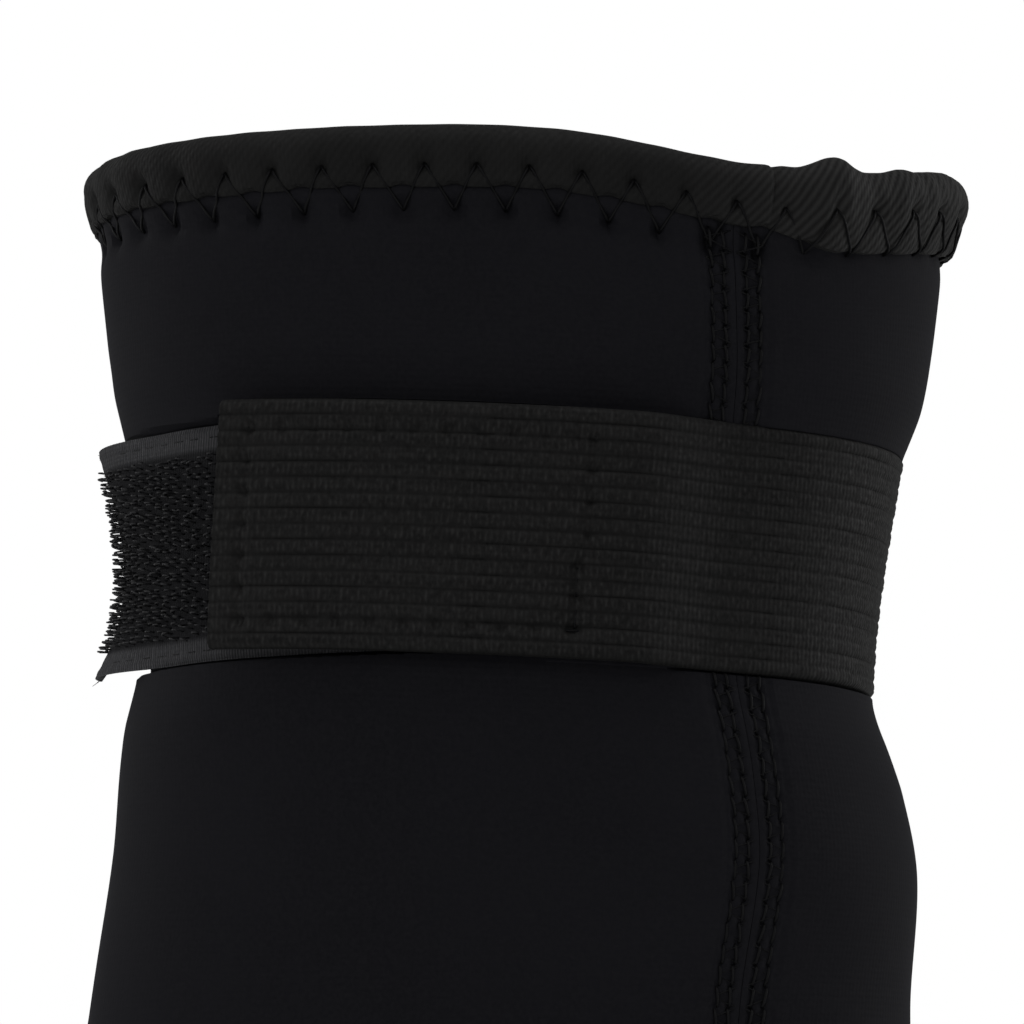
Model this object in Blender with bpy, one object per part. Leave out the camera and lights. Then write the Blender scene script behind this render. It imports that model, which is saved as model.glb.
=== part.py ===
"""Wrist support brace: a neoprene sleeve with a thumb opening and an elastic hook-and-loop strap.

The sleeve stands on its hand end, with its forearm end up. +X is the little-finger side, -X the
thumb side, and -Y the front, where the strap is fastened. The origin is at the middle of the base.
Angles go round the sleeve from +X: -90 degrees is the front, 180 the thumb side, 90 the back.
An "offset" is a distance outwards from the sleeve's nominal outer surface.
"""
import math

import bmesh
import bpy
from mathutils import Vector

MM = 0.001

# The sleeve's outline: height, thumb side, little-finger side, half depth.
SLEEVE_STATIONS = (
    (0.0 * MM, -42.5 * MM, 41.0 * MM, 21.5 * MM),
    (30.0 * MM, -44.7 * MM, 40.8 * MM, 22.0 * MM),
    (53.0 * MM, -41.4 * MM, 39.8 * MM, 23.5 * MM),
    (67.0 * MM, -39.2 * MM, 40.7 * MM, 24.4 * MM),
    (76.0 * MM, -38.5 * MM, 39.2 * MM, 24.7 * MM),
    (85.0 * MM, -37.3 * MM, 36.6 * MM, 25.0 * MM),
    (108.0 * MM, -38.6 * MM, 39.5 * MM, 26.2 * MM),
    (118.0 * MM, -40.2 * MM, 42.2 * MM, 27.2 * MM),
    (137.0 * MM, -41.8 * MM, 44.7 * MM, 29.0 * MM),
)
SLEEVE_LENGTH = 137.0 * MM
OVAL_POWER = 2.3            # 2 is an ellipse, more is boxier
RIM_SAG = 3.7 * MM          # how far the forearm rim dips, most of all beside the front seam
RIM_SAG_ANGLE = -42.0
RIM_SAG_SPREAD = 30.0       # degrees
PANEL_THICKNESS = 3.2 * MM
GAP = 0.3 * MM              # left between pieces that touch

# The front seam's angle at three heights; the back seam mirrors it.
SEAM_STATIONS = ((0.0, -40.5), (60.0 * MM, -41.7), (85.0 * MM, -43.0), (137.0 * MM, -53.0))
SEAM_ROW_OFFSET = 1.9 * MM  # from the seam's line to the middle of each thread row
SEAM_ROW_WIDTH = 1.7 * MM
SEAM_DIP = 0.6 * MM         # how far the thread pulls the panel's edge in
SEAM_DIP_WIDTH = 2.9 * MM

# The band of height that the strap squeezes, before it is tilted.
STRAP_CENTRE = 97.6 * MM
STRAP_WIDTH = 24.0 * MM
STRAP_THICKNESS = 1.3 * MM
STRAP_TILT = 0.045          # the strap drops towards +X
GROOVE_DEPTH = 1.7 * MM
GROOVE_LOW = 84.6 * MM
GROOVE_HIGH = 110.2 * MM
GROOVE_SHOULDER = 1.3 * MM

STRAP_HINGE_ANGLE = -4.0
TIP_HINGE_ANGLE = -69.5
RAMP_START_ANGLE = -46.0    # where the strap starts to climb over the hook tape
RAMP_END_ANGLE = -66.5
STRAP_END_ANGLE = -144.0
ANCHOR_END_ANGLE = 105.0
HINGE_SLIT = 0.35           # degrees left open on each side of a strap hinge
HINGE_CLEARANCE = 0.1 * MM  # from the strap's outer face to the hinge's axis
STRAP_LOW_OFFSET = -1.4 * MM    # inner face where the strap lies on the panel
STRAP_HIGH_OFFSET = 1.5 * MM    # inner face where it lies on the loop patch

TAPE_CENTRE = 96.5 * MM
TAPE_WIDTH = 22.8 * MM
TAPE_THICKNESS = 0.5 * MM
TAPE_HIDDEN_ANGLE = -80.0
TAPE_FREE_ANGLE = -184.0
TAPE_FLARE = 4.4 * MM
TAPE_FLARE_ANGLE = -158.0
HOOK_WIDTH = 18.4 * MM
HOOK_HEIGHT = 0.9 * MM
LOOP_WIDTH = 20.0 * MM
LOOP_THICKNESS = 0.6 * MM

BINDING_THICKNESS = 0.8 * MM
BINDING_LEG = 6.2 * MM
THREAD_THICKNESS = 0.25 * MM
ZIGZAG_DIAMETER = 0.5 * MM
ZIGZAG_PITCH = 5.1 * MM
ZIGZAG_SHALLOW = 4.0 * MM   # from the rim to the zigzag's two rows of points
ZIGZAG_DEEP = 8.3 * MM

THUMB_HEIGHT = 29.0 * MM
THUMB_HALF_WIDTH = 13.0 * MM    # measured round the sleeve
THUMB_HALF_HEIGHT = 15.0 * MM
THUMB_BINDING_LEG = 4.6 * MM

THUMB_STEPS = 32

# Facets are shorter at the two sides, where the oval turns tightly. Every piece that goes round
# the sleeve uses these angles, so that neighbouring facets stay parallel.
QUARTER_ANGLES = (0.0, 4.0, 8.0, 13.0, 20.0, 30.0, 42.0, 54.0, 66.0, 78.0)


# ---- the sleeve's surface ----

def smooth_step(value, start, end):
    """0 at start, 1 at end, with level tangents at both."""
    t = min(1.0, max(0.0, (value - start) / (end - start)))
    return t * t * (3.0 - 2.0 * t)


def station_value(stations, height, column):
    """A cubic through the stations' values, read at a height."""
    last = len(stations) - 1
    height = min(max(height, stations[0][0]), stations[last][0])
    index = max(i for i in range(last) if stations[i][0] <= height)
    low, high = stations[index], stations[index + 1]
    before, after = stations[max(index - 1, 0)], stations[min(index + 2, last)]
    span = high[0] - low[0]
    slope_low = (high[column] - before[column]) / (high[0] - before[0])
    slope_high = (after[column] - low[column]) / (after[0] - low[0])
    t = (height - low[0]) / span
    return ((2 * t**3 - 3 * t**2 + 1) * low[column] + (t**3 - 2 * t**2 + t) * span * slope_low
            + (3 * t**2 - 2 * t**3) * high[column] + (t**3 - t**2) * span * slope_high)


def degrees_between(angle, other):
    return abs((angle - other + 180.0) % 360.0 - 180.0)


def outline_point(angle, height):
    """The nominal outline at a height, before the strap's tilt."""
    left = station_value(SLEEVE_STATIONS, height, 1)
    right = station_value(SLEEVE_STATIONS, height, 2)
    half_width = (right - left) / 2
    half_depth = station_value(SLEEVE_STATIONS, height, 3)
    cosine = math.cos(math.radians(angle))
    sine = math.sin(math.radians(angle))
    radius = (abs(cosine / half_width)**OVAL_POWER
              + abs(sine / half_depth)**OVAL_POWER)**(-1 / OVAL_POWER)
    return Vector(((left + right) / 2 + radius * cosine, radius * sine, height))


def surface_point(angle, height, offset):
    """A point off the sleeve's surface; heights near the strap tilt with it."""
    point = outline_point(angle, height)
    along = outline_point(angle + 0.5, height) - outline_point(angle - 0.5, height)
    outward = Vector((along.y, -along.x, 0.0)).normalized()
    lean = (smooth_step(height, 50 * MM, 80 * MM)
            * (1.0 - smooth_step(height, 114 * MM, 128 * MM)))
    point += outward * offset
    sag = RIM_SAG * math.exp(-(degrees_between(angle, RIM_SAG_ANGLE) / RIM_SAG_SPREAD)**2)
    point.z = (height - STRAP_TILT * point.x * lean
               - sag * smooth_step(height, 112 * MM, 130 * MM))
    return point


def angle_beyond(angle, height, distance):
    """The angle reached by going a distance round the sleeve."""
    steps = max(1, math.ceil(abs(distance) / (1.0 * MM)))
    for _ in range(steps):
        arc = (outline_point(angle + 0.5, height) - outline_point(angle - 0.5, height)).length
        angle += distance / steps / arc
    return angle


def seam_angle(height):
    return station_value(SEAM_STATIONS, height, 1)


def squeeze(height):
    """How deep the strap presses the panel in at a height."""
    rise = smooth_step(height, GROOVE_LOW - GROOVE_SHOULDER, GROOVE_LOW)
    fall = smooth_step(height, GROOVE_HIGH, GROOVE_HIGH + GROOVE_SHOULDER)
    return GROOVE_DEPTH * (rise - fall)


# ---- mesh building ----

def new_object(name, vertices, faces, material, smooth=True):
    mesh = bpy.data.meshes.new(name)
    mesh.from_pydata([tuple(v) for v in vertices], [], faces)
    work = bmesh.new()
    work.from_mesh(mesh)
    bmesh.ops.recalc_face_normals(work, faces=work.faces)
    work.to_mesh(mesh)
    work.free()
    if smooth:
        mesh.shade_smooth()
        mesh.set_sharp_from_angle(angle=math.radians(40))
    mesh.materials.append(material)
    item = bpy.data.objects.new(name, mesh)
    bpy.context.scene.collection.objects.link(item)
    return item


def sheet_solid(name, inner, outer, material):
    """A closed solid between two grids of points, given as rows of equal length."""
    rows, columns = len(inner), len(inner[0])
    vertices = [p for grid in (inner, outer) for row in grid for p in row]
    layer = rows * columns

    def corner(side, row, column):
        return side * layer + row * columns + column

    faces = []
    for side in (0, 1):
        for r in range(rows - 1):
            for c in range(columns - 1):
                faces.append((corner(side, r, c), corner(side, r, c + 1),
                              corner(side, r + 1, c + 1), corner(side, r + 1, c)))
    edge = ([(0, c) for c in range(columns - 1)] + [(r, columns - 1) for r in range(rows - 1)]
            + [(rows - 1, c) for c in range(columns - 1, 0, -1)]
            + [(r, 0) for r in range(rows - 1, 0, -1)])
    for here, there in zip(edge, edge[1:] + edge[:1]):
        faces.append((corner(0, *here), corner(0, *there), corner(1, *there), corner(1, *here)))
    return new_object(name, vertices, faces, material)


def loop_solid(name, sections, material):
    """A closed ring through equal cross-sections, the last joined to the first."""
    count, size = len(sections), len(sections[0])
    vertices = [p for section in sections for p in section]
    faces = []
    for i in range(count):
        for j in range(size):
            faces.append((i * size + j, i * size + (j + 1) % size,
                          (i + 1) % count * size + (j + 1) % size, (i + 1) % count * size + j))
    return new_object(name, vertices, faces, material)


def thread_loop(name, points, outwards, width, thickness, material):
    """A closed loop of thread: a flat section that lies against the cloth."""
    sections = []
    for i, point in enumerate(points):
        along = (points[(i + 1) % len(points)] - points[i - 1]).normalized()
        out = outwards[i]
        side = along.cross(out).normalized()
        sections.append([point + side * (a * width / 2) + out * (b * thickness)
                         for a, b in ((-1, 0), (1, 0), (1, 1), (-1, 1))])
    return loop_solid(name, sections, material)


def spread(start, end, count):
    return [start + (end - start) * i / count for i in range(count + 1)]


def turn_angles(start, end, margin=1.5):
    """The start, the end, and the shared facet angles between them."""
    half_turn = list(QUARTER_ANGLES) + [90.0] + [180.0 - a for a in reversed(QUARTER_ANGLES[1:])]
    shared = sorted(a + 180.0 * turn for turn in range(-3, 2) for a in half_turn)
    low, high = min(start, end) + margin, max(start, end) - margin
    between = [a for a in shared if low < a < high]
    if end < start:
        between.reverse()
    return [start] + between + [end]


# ---- materials ----

def make_material(name, colour, roughness):
    material = bpy.data.materials.new(name)
    material.use_nodes = True
    shader = material.node_tree.nodes["Principled BSDF"]
    shader.inputs["Base Color"].default_value = (*colour, 1.0)
    shader.inputs["Roughness"].default_value = roughness
    shader.inputs["Metallic"].default_value = 0.0
    return material


def make_materials():
    return {
        "jersey": make_material("jersey", (0.0065, 0.0065, 0.0080), 0.85),
        "binding": make_material("binding", (0.0105, 0.0105, 0.0105), 0.80),
        "thread": make_material("thread", (0.0130, 0.0130, 0.0130), 0.55),
        "elastic": make_material("elastic", (0.0085, 0.0085, 0.0085), 0.75),
        "hook_tape": make_material("hook_tape", (0.0250, 0.0250, 0.0270), 0.60),
        "hooks": make_material("hooks", (0.0120, 0.0120, 0.0130), 0.45),
        "loop": make_material("loop", (0.0100, 0.0100, 0.0105), 0.95),
    }


# ---- the sleeve ----

PANEL_HEIGHTS = ([BINDING_THICKNESS + GAP] + [h * MM for h in (8, 17, 26, 35, 44, 53, 61, 69, 76)]
                 + [GROOVE_LOW - GROOVE_SHOULDER, GROOVE_LOW, 97 * MM, GROOVE_HIGH,
                    GROOVE_HIGH + GROOVE_SHOULDER]
                 + [118 * MM, 127 * MM, SLEEVE_LENGTH - BINDING_THICKNESS - GAP])


def panel(name, first_shared, last_shared, back_seam, direction, material):
    """A panel from the front seam round to the back one; its edges dip under the seam threads.

    direction is -1 from the front seam round the thumb side, and 1 round the little-finger side.
    The shared angles start and end where the seams' slant leaves them free at every height.
    """
    inner, outer = [], []
    shared = turn_angles(first_shared, last_shared)
    for height in PANEL_HEIGHTS:
        start, end = seam_angle(height), back_seam(seam_angle(height))
        marks = [GAP / 2, SEAM_DIP_WIDTH, SEAM_DIP_WIDTH + 1.2 * MM]
        first = [angle_beyond(start, height, direction * m) for m in marks]
        last = [angle_beyond(end, height, -direction * m) for m in reversed(marks)]
        first.append((first[2] + first_shared) / 2)
        last.insert(0, (last[0] + last_shared) / 2)
        angles = first + shared + last
        dips = [SEAM_DIP] * 2 + [0.0] * (len(angles) - 4) + [SEAM_DIP] * 2
        press = squeeze(height)
        inner.append([surface_point(a, height, -PANEL_THICKNESS) for a in angles])
        outer.append([surface_point(a, height, -press - d) for a, d in zip(angles, dips)])
    return sheet_solid(name, inner, outer, material)


def thumb_point(turn, outwards, offset):
    """A point near the thumb opening: a turn round it, and a distance out from its edge."""
    across = (THUMB_HALF_WIDTH + outwards) * math.cos(turn)
    height = THUMB_HEIGHT + (THUMB_HALF_HEIGHT + outwards) * math.sin(turn)
    return surface_point(angle_beyond(-180.0, height, across), height, offset)


def cut_thumb_opening(target, material):
    """The panel stops inside the thumb binding, a binding's thickness out from its edge."""
    edge = BINDING_THICKNESS + GAP
    turns = spread(0.0, 2 * math.pi, THUMB_STEPS)[:-1]
    vertices = [thumb_point(t, edge, offset) for offset in (-8 * MM, 5 * MM) for t in turns]
    around = range(THUMB_STEPS)
    faces = [(i, (i + 1) % THUMB_STEPS, (i + 1) % THUMB_STEPS + THUMB_STEPS, i + THUMB_STEPS)
             for i in around]
    for side in (0, THUMB_STEPS):
        centre = len(vertices)
        vertices.append(sum((vertices[side + i] for i in around), Vector()) / THUMB_STEPS)
        faces += [(side + i, side + (i + 1) % THUMB_STEPS, centre) for i in around]
    cutter = new_object("thumb_cutter", vertices, faces, material, smooth=False)
    cutter.hide_render = True
    cutter.display_type = "WIRE"
    cut = target.modifiers.new("thumb_opening", "BOOLEAN")
    cut.operation = "DIFFERENCE"
    cut.solver = "EXACT"
    cut.object = cutter


def binding_profile(leg):
    """A folded tape's section, as offset and distance in from the bound edge."""
    outside = GAP + BINDING_THICKNESS
    inside = -PANEL_THICKNESS - GAP - BINDING_THICKNESS
    return ((GAP, leg), (outside, leg), (outside, 0.7 * MM), (0.6 * MM, 0.0),
            (inside + 0.5 * MM, 0.0), (inside, 0.7 * MM), (inside, leg),
            (inside + BINDING_THICKNESS, leg), (inside + BINDING_THICKNESS, BINDING_THICKNESS),
            (GAP, BINDING_THICKNESS))


def rim_binding(name, rim_height, direction, material):
    """Tape over an end of the sleeve; direction is 1 where the cloth is above the rim."""
    sections = [[surface_point(angle, rim_height + direction * inwards, offset)
                 for offset, inwards in binding_profile(BINDING_LEG)]
                for angle in turn_angles(0.0, 360.0)[:-1]]
    return loop_solid(name, sections, material)


def thumb_binding(material):
    sections = [[thumb_point(turn, inwards, offset)
                 for offset, inwards in binding_profile(THUMB_BINDING_LEG)]
                for turn in spread(0.0, 2 * math.pi, THUMB_STEPS)[:-1]]
    return loop_solid("thumb_binding", sections, material)


def outward_at(angle, height):
    return (surface_point(angle, height, 1 * MM) - surface_point(angle, height, 0.0)).normalized()


def rim_zigzag(name, rim_height, direction, material):
    """Zigzag thread that straddles the edge of a rim's binding."""
    girth = sum((outline_point(a + 3, rim_height) - outline_point(a, rim_height)).length
                for a in range(0, 360, 3))
    count = 2 * round(girth / ZIGZAG_PITCH)
    angle, points, outwards = 0.0, [], []
    for i in range(count):
        height = rim_height + direction * (ZIGZAG_DEEP if i % 2 else ZIGZAG_SHALLOW)
        points.append(surface_point(angle, height, GAP * 2 + BINDING_THICKNESS))
        outwards.append(outward_at(angle, height))
        angle = angle_beyond(angle, rim_height, girth / count)
    return thread_loop(name, points, outwards, ZIGZAG_DIAMETER, ZIGZAG_DIAMETER, material)


def thumb_zigzag(material):
    perimeter = 2 * math.pi * (THUMB_HALF_WIDTH + THUMB_HALF_HEIGHT + THUMB_BINDING_LEG * 2) / 2
    count = 2 * round(perimeter / ZIGZAG_PITCH)
    shallow, deep = THUMB_BINDING_LEG - 2.0 * MM, THUMB_BINDING_LEG + 1.6 * MM
    points, outwards = [], []
    for i in range(count):
        turn = 2 * math.pi * i / count
        reach = deep if i % 2 else shallow
        low = thumb_point(turn, reach, GAP * 2 + BINDING_THICKNESS)
        points.append(low)
        outwards.append((thumb_point(turn, reach, 3 * MM) - low).normalized())
    return thread_loop("thumb_binding_stitching", points, outwards, ZIGZAG_DIAMETER,
                       ZIGZAG_DIAMETER, material)


def seam_row(name, side, distance, material):
    """One thread row of a flatlock seam; side is 1 at the front and -1 at the back."""
    low = BINDING_LEG + GAP
    high = SLEEVE_LENGTH - BINDING_LEG - GAP
    heights = [low] + [h for h in PANEL_HEIGHTS if low < h < high] + [high]
    inner, outer = [], []
    for height in heights:
        centre = side * seam_angle(height)
        edges = [angle_beyond(centre, height, distance + s * SEAM_ROW_WIDTH / 2) for s in (-1, 1)]
        bottom = GAP - SEAM_DIP - squeeze(height)
        inner.append([surface_point(a, height, bottom) for a in edges])
        outer.append([surface_point(a, height, bottom + THREAD_THICKNESS) for a in edges])
    return sheet_solid(name, inner, outer, material)


# ---- the hook tape and the strap ----

def band(name, angles, centre, width, inner_offset, thickness, material, rows=3):
    """A strip round the sleeve; inner_offset(angle, across) has across from -1 to 1."""
    inner, outer = [], []
    for across in spread(-1.0, 1.0, rows):
        height = centre + across * width / 2
        offsets = [inner_offset(a, across) for a in angles]
        inner.append([surface_point(a, height, o) for a, o in zip(angles, offsets)])
        outer.append([surface_point(a, height, o + thickness) for a, o in zip(angles, offsets)])
    return sheet_solid(name, inner, outer, material)


def tape_offset(angle, across):
    """The tape lies on the squeezed panel, and its free corners curl away."""
    curl = smooth_step(angle, TAPE_FLARE_ANGLE, TAPE_FREE_ANGLE)
    return GAP - GROOVE_DEPTH + TAPE_FLARE * curl * (0.42 + 0.58 * across * across)


def strap_offset(angle, _across=0.0):
    """The strap's inner face: low on the panel, high over the hook tape."""
    climb = smooth_step(angle, RAMP_START_ANGLE, RAMP_END_ANGLE)
    return STRAP_LOW_OFFSET + (STRAP_HIGH_OFFSET - STRAP_LOW_OFFSET) * climb


def hook_offset(angle, across):
    narrow = HOOK_WIDTH / TAPE_WIDTH
    return tape_offset(angle, across * narrow) + TAPE_THICKNESS + GAP


def loop_offset(_angle, _across):
    return STRAP_HIGH_OFFSET - GAP - LOOP_THICKNESS


def tape_stitching(material):
    """One thread along both selvages, joined across the tape's hidden end."""
    edge = (TAPE_WIDTH + HOOK_WIDTH) / 4
    lead = turn_angles(TAPE_FREE_ANGLE + 10.0, TAPE_HIDDEN_ANGLE - 1.5)
    route = [(a, edge) for a in lead] + [(a, -edge) for a in reversed(lead)]
    inner, outer = [], []
    for side in (-1, 1):
        inner_row, outer_row = [], []
        for i, (angle, across) in enumerate(route):
            turning = i in (len(lead) - 1, len(lead))
            height = TAPE_CENTRE + across + side * 0.3 * MM * (1 if across > 0 else -1)
            shifted = angle + (side * 0.6 if turning else 0.0)
            offset = tape_offset(angle, across / (TAPE_WIDTH / 2)) + TAPE_THICKNESS + GAP
            inner_row.append(surface_point(shifted, height, offset))
            outer_row.append(surface_point(shifted, height, offset + THREAD_THICKNESS))
        inner.append(inner_row)
        outer.append(outer_row)
    return sheet_solid("hook_tape_stitching", inner, outer, material)


def box_stitch(name, first_angle, last_angle, centre, half_height, offset_at, material):
    """A closed rectangle of stitching on a strip's outer face."""
    along = turn_angles(first_angle, last_angle)
    up = spread(-half_height, half_height, 3)[1:-1]
    route = ([(a, -half_height) for a in along] + [(last_angle, h) for h in up]
             + [(a, half_height) for a in reversed(along)]
             + [(first_angle, h) for h in reversed(up)])
    points = [surface_point(a, centre + h, offset_at(a) + GAP) for a, h in route]
    outwards = [outward_at(a, centre + h) for a, h in route]
    return thread_loop(name, points, outwards, ZIGZAG_DIAMETER, THREAD_THICKNESS, material)


def hinge_empty(name, angle):
    """An empty on a strap hinge's axis, which crosses the strap along its outer face."""
    face = strap_offset(angle) + STRAP_THICKNESS + HINGE_CLEARANCE
    low = surface_point(angle, STRAP_CENTRE - STRAP_WIDTH / 2, face)
    high = surface_point(angle, STRAP_CENTRE + STRAP_WIDTH / 2, face)
    empty = bpy.data.objects.new(name, None)
    empty.location = (low + high) / 2
    empty.rotation_mode = "QUATERNION"
    empty.rotation_quaternion = (high - low).to_track_quat("Z", "Y")
    empty.empty_display_size = 10 * MM
    bpy.context.scene.collection.objects.link(empty)
    return empty


def parent_keeping_place(children, parent):
    bpy.context.view_layer.update()
    for child in children:
        child.parent = parent
        child.matrix_parent_inverse = parent.matrix_world.inverted()


# ---- assembly ----

def build_sleeve(materials):
    main = panel("main_panel", -66.0, -294.0, lambda seam: -360.0 - seam, -1,
                 materials["jersey"])
    cut_thumb_opening(main, materials["jersey"])
    panel("side_panel", -30.0, 30.0, lambda seam: -seam, 1, materials["jersey"])
    for place, side in (("front", 1), ("back", -1)):
        for row, distance in (("left", -SEAM_ROW_OFFSET), ("right", SEAM_ROW_OFFSET)):
            seam_row(f"{place}_seam_{row}_row", side, side * distance, materials["thread"])
    for end, height, direction in (("forearm", SLEEVE_LENGTH, -1), ("hand", 0.0, 1)):
        rim_binding(f"{end}_binding", height, direction, materials["binding"])
        rim_zigzag(f"{end}_binding_stitching", height, direction, materials["thread"])
    thumb_binding(materials["binding"])
    thumb_zigzag(materials["thread"])


def build_hook_fastener(materials):
    tape_angles = turn_angles(TAPE_HIDDEN_ANGLE, TAPE_FREE_ANGLE)
    band("hook_tape", tape_angles, TAPE_CENTRE, TAPE_WIDTH, tape_offset, TAPE_THICKNESS,
         materials["hook_tape"], rows=4)
    hook_angles = turn_angles(TAPE_HIDDEN_ANGLE - 3.0, TAPE_FREE_ANGLE + 1.0)
    band("hook_field", hook_angles, TAPE_CENTRE, HOOK_WIDTH, hook_offset, HOOK_HEIGHT,
         materials["hooks"])
    tape_stitching(materials["thread"])


def build_strap(materials):
    elastic = materials["elastic"]
    anchor_angles = turn_angles(STRAP_HINGE_ANGLE + HINGE_SLIT, ANCHOR_END_ANGLE)
    band("strap_anchor", anchor_angles, STRAP_CENTRE, STRAP_WIDTH, strap_offset,
         STRAP_THICKNESS, elastic)
    box_stitch("anchor_box_stitch", 68.0, ANCHOR_END_ANGLE - 4.0, STRAP_CENTRE, 9.3 * MM,
               lambda angle: strap_offset(angle) + STRAP_THICKNESS, materials["thread"])
    band_angles = turn_angles(STRAP_HINGE_ANGLE - HINGE_SLIT, RAMP_START_ANGLE)[:-1]
    band_angles += spread(RAMP_START_ANGLE, TIP_HINGE_ANGLE + HINGE_SLIT, 6)
    wrap = band("strap_band", band_angles, STRAP_CENTRE, STRAP_WIDTH, strap_offset,
                STRAP_THICKNESS, elastic)
    end_angles = turn_angles(TIP_HINGE_ANGLE - HINGE_SLIT, STRAP_END_ANGLE)
    end = band("strap_end", end_angles, STRAP_CENTRE, STRAP_WIDTH, strap_offset,
               STRAP_THICKNESS, elastic)
    loop_angles = turn_angles(TIP_HINGE_ANGLE - 2.0, STRAP_END_ANGLE + 2.0)
    loop = band("loop_patch", loop_angles, STRAP_CENTRE, LOOP_WIDTH, loop_offset,
                LOOP_THICKNESS, materials["loop"])
    stitch = box_stitch("strap_end_box_stitch", TIP_HINGE_ANGLE - 4.5, STRAP_END_ANGLE + 5.5,
                        STRAP_CENTRE, 9.3 * MM,
                        lambda angle: strap_offset(angle) + STRAP_THICKNESS, materials["thread"])
    strap_hinge = hinge_empty("strap_hinge", STRAP_HINGE_ANGLE)
    tip_hinge = hinge_empty("tip_hinge", TIP_HINGE_ANGLE)
    parent_keeping_place([wrap, tip_hinge], strap_hinge)
    parent_keeping_place([end, loop, stitch], tip_hinge)


def build():
    for item in list(bpy.data.objects):
        bpy.data.objects.remove(item, do_unlink=True)
    materials = make_materials()
    build_sleeve(materials)
    build_hook_fastener(materials)
    build_strap(materials)


build()
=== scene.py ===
"""The looks of a wrist support brace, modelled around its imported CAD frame. Metres, +Z up.

The sleeve stands on its hand end. +X is the little-finger side, -X the thumb side, -Y the front.
Angles go round the sleeve from +X: -90 is the front, -180 the thumb side, 90 the back.
An "offset" is a distance outwards from the sleeve's nominal outer surface, and a "height" is
measured before the strap's tilt and the rim's sag are applied, as in the CAD model.
"""
import math

import bmesh
import bpy
import numpy as np
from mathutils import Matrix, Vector


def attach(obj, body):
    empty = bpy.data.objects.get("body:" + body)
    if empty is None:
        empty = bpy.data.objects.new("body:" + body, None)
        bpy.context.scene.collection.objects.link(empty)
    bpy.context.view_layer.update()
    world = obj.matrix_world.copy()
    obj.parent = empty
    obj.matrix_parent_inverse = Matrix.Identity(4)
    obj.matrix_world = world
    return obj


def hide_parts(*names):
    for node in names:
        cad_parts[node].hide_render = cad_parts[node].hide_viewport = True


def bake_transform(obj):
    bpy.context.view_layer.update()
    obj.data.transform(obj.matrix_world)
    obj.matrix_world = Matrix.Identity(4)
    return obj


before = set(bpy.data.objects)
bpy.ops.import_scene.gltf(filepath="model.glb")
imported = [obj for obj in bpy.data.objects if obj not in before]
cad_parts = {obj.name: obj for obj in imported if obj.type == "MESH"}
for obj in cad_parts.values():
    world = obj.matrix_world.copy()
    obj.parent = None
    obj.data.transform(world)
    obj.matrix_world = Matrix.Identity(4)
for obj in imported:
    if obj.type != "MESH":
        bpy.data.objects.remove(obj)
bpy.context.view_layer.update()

MM = 0.001

# ---- the shape of the sleeve, as the CAD model has it ----
SLEEVE_STATIONS = np.array((
    (0.0, -42.5, 41.0, 21.5),
    (30.0, -44.7, 40.8, 22.0),
    (53.0, -41.4, 39.8, 23.5),
    (67.0, -39.2, 40.7, 24.4),
    (76.0, -38.5, 39.2, 24.7),
    (85.0, -37.3, 36.6, 25.0),
    (108.0, -38.6, 39.5, 26.2),
    (118.0, -40.2, 42.2, 27.2),
    (137.0, -41.8, 44.7, 29.0),
)) * MM
SEAM_STATIONS = np.array(((0.0, -40.5), (0.060, -41.7), (0.085, -43.0), (0.137, -53.0)))
SLEEVE_LENGTH = 137.0 * MM
OVAL_POWER = 2.3
PANEL_THICKNESS = 3.2 * MM
RIM_SAG, RIM_SAG_ANGLE, RIM_SAG_SPREAD = 3.7 * MM, -42.0, 30.0
STRAP_TILT = 0.045
STRAP_CENTRE, STRAP_WIDTH, STRAP_THICKNESS = 97.6 * MM, 24.0 * MM, 1.3 * MM
STRAP_LOW_OFFSET, STRAP_HIGH_OFFSET = -1.4 * MM, 1.5 * MM
TIP_HINGE_ANGLE = -69.5
RAMP_START_ANGLE, RAMP_END_ANGLE = -46.0, -66.5
STRAP_END_ANGLE, ANCHOR_END_ANGLE = -144.0, 105.0
GROOVE_DEPTH, GROOVE_LOW, GROOVE_HIGH = 1.7 * MM, 85.1 * MM, 109.65 * MM
GROOVE_SHOULDER = 0.5 * MM
PRESSED_FROM, PRESSED_TO = (-206.0, -191.0), (-254.5, -250.0)   # where the pressure fades
TAPE_HIGH_FROM = (-215.0, -200.0)   # where the groove's high edge comes down to the tape's
TAPE_CENTRE, TAPE_WIDTH, TAPE_THICKNESS = 96.5 * MM, 22.8 * MM, 0.5 * MM
TAPE_HIDDEN_ANGLE, TAPE_FREE_ANGLE, TAPE_FLARE_ANGLE = -80.0, -184.0, -158.0
TAPE_FLARE = 4.4 * MM
TAPE_SKEW, TAPE_SKEW_X = 0.06, -26.0 * MM   # its rise towards +X, and where that is nothing
TAPE_SKEW_LOW, TAPE_SKEW_HIGH = -0.8 * MM, 1.2 * MM
HOOK_WIDTH = 18.4 * MM
LOOP_WIDTH, LOOP_THICKNESS = 20.0 * MM, 0.6 * MM
THUMB_HEIGHT, THUMB_HALF_WIDTH, THUMB_HALF_HEIGHT = 29.0 * MM, 13.0 * MM, 15.0 * MM

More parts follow.
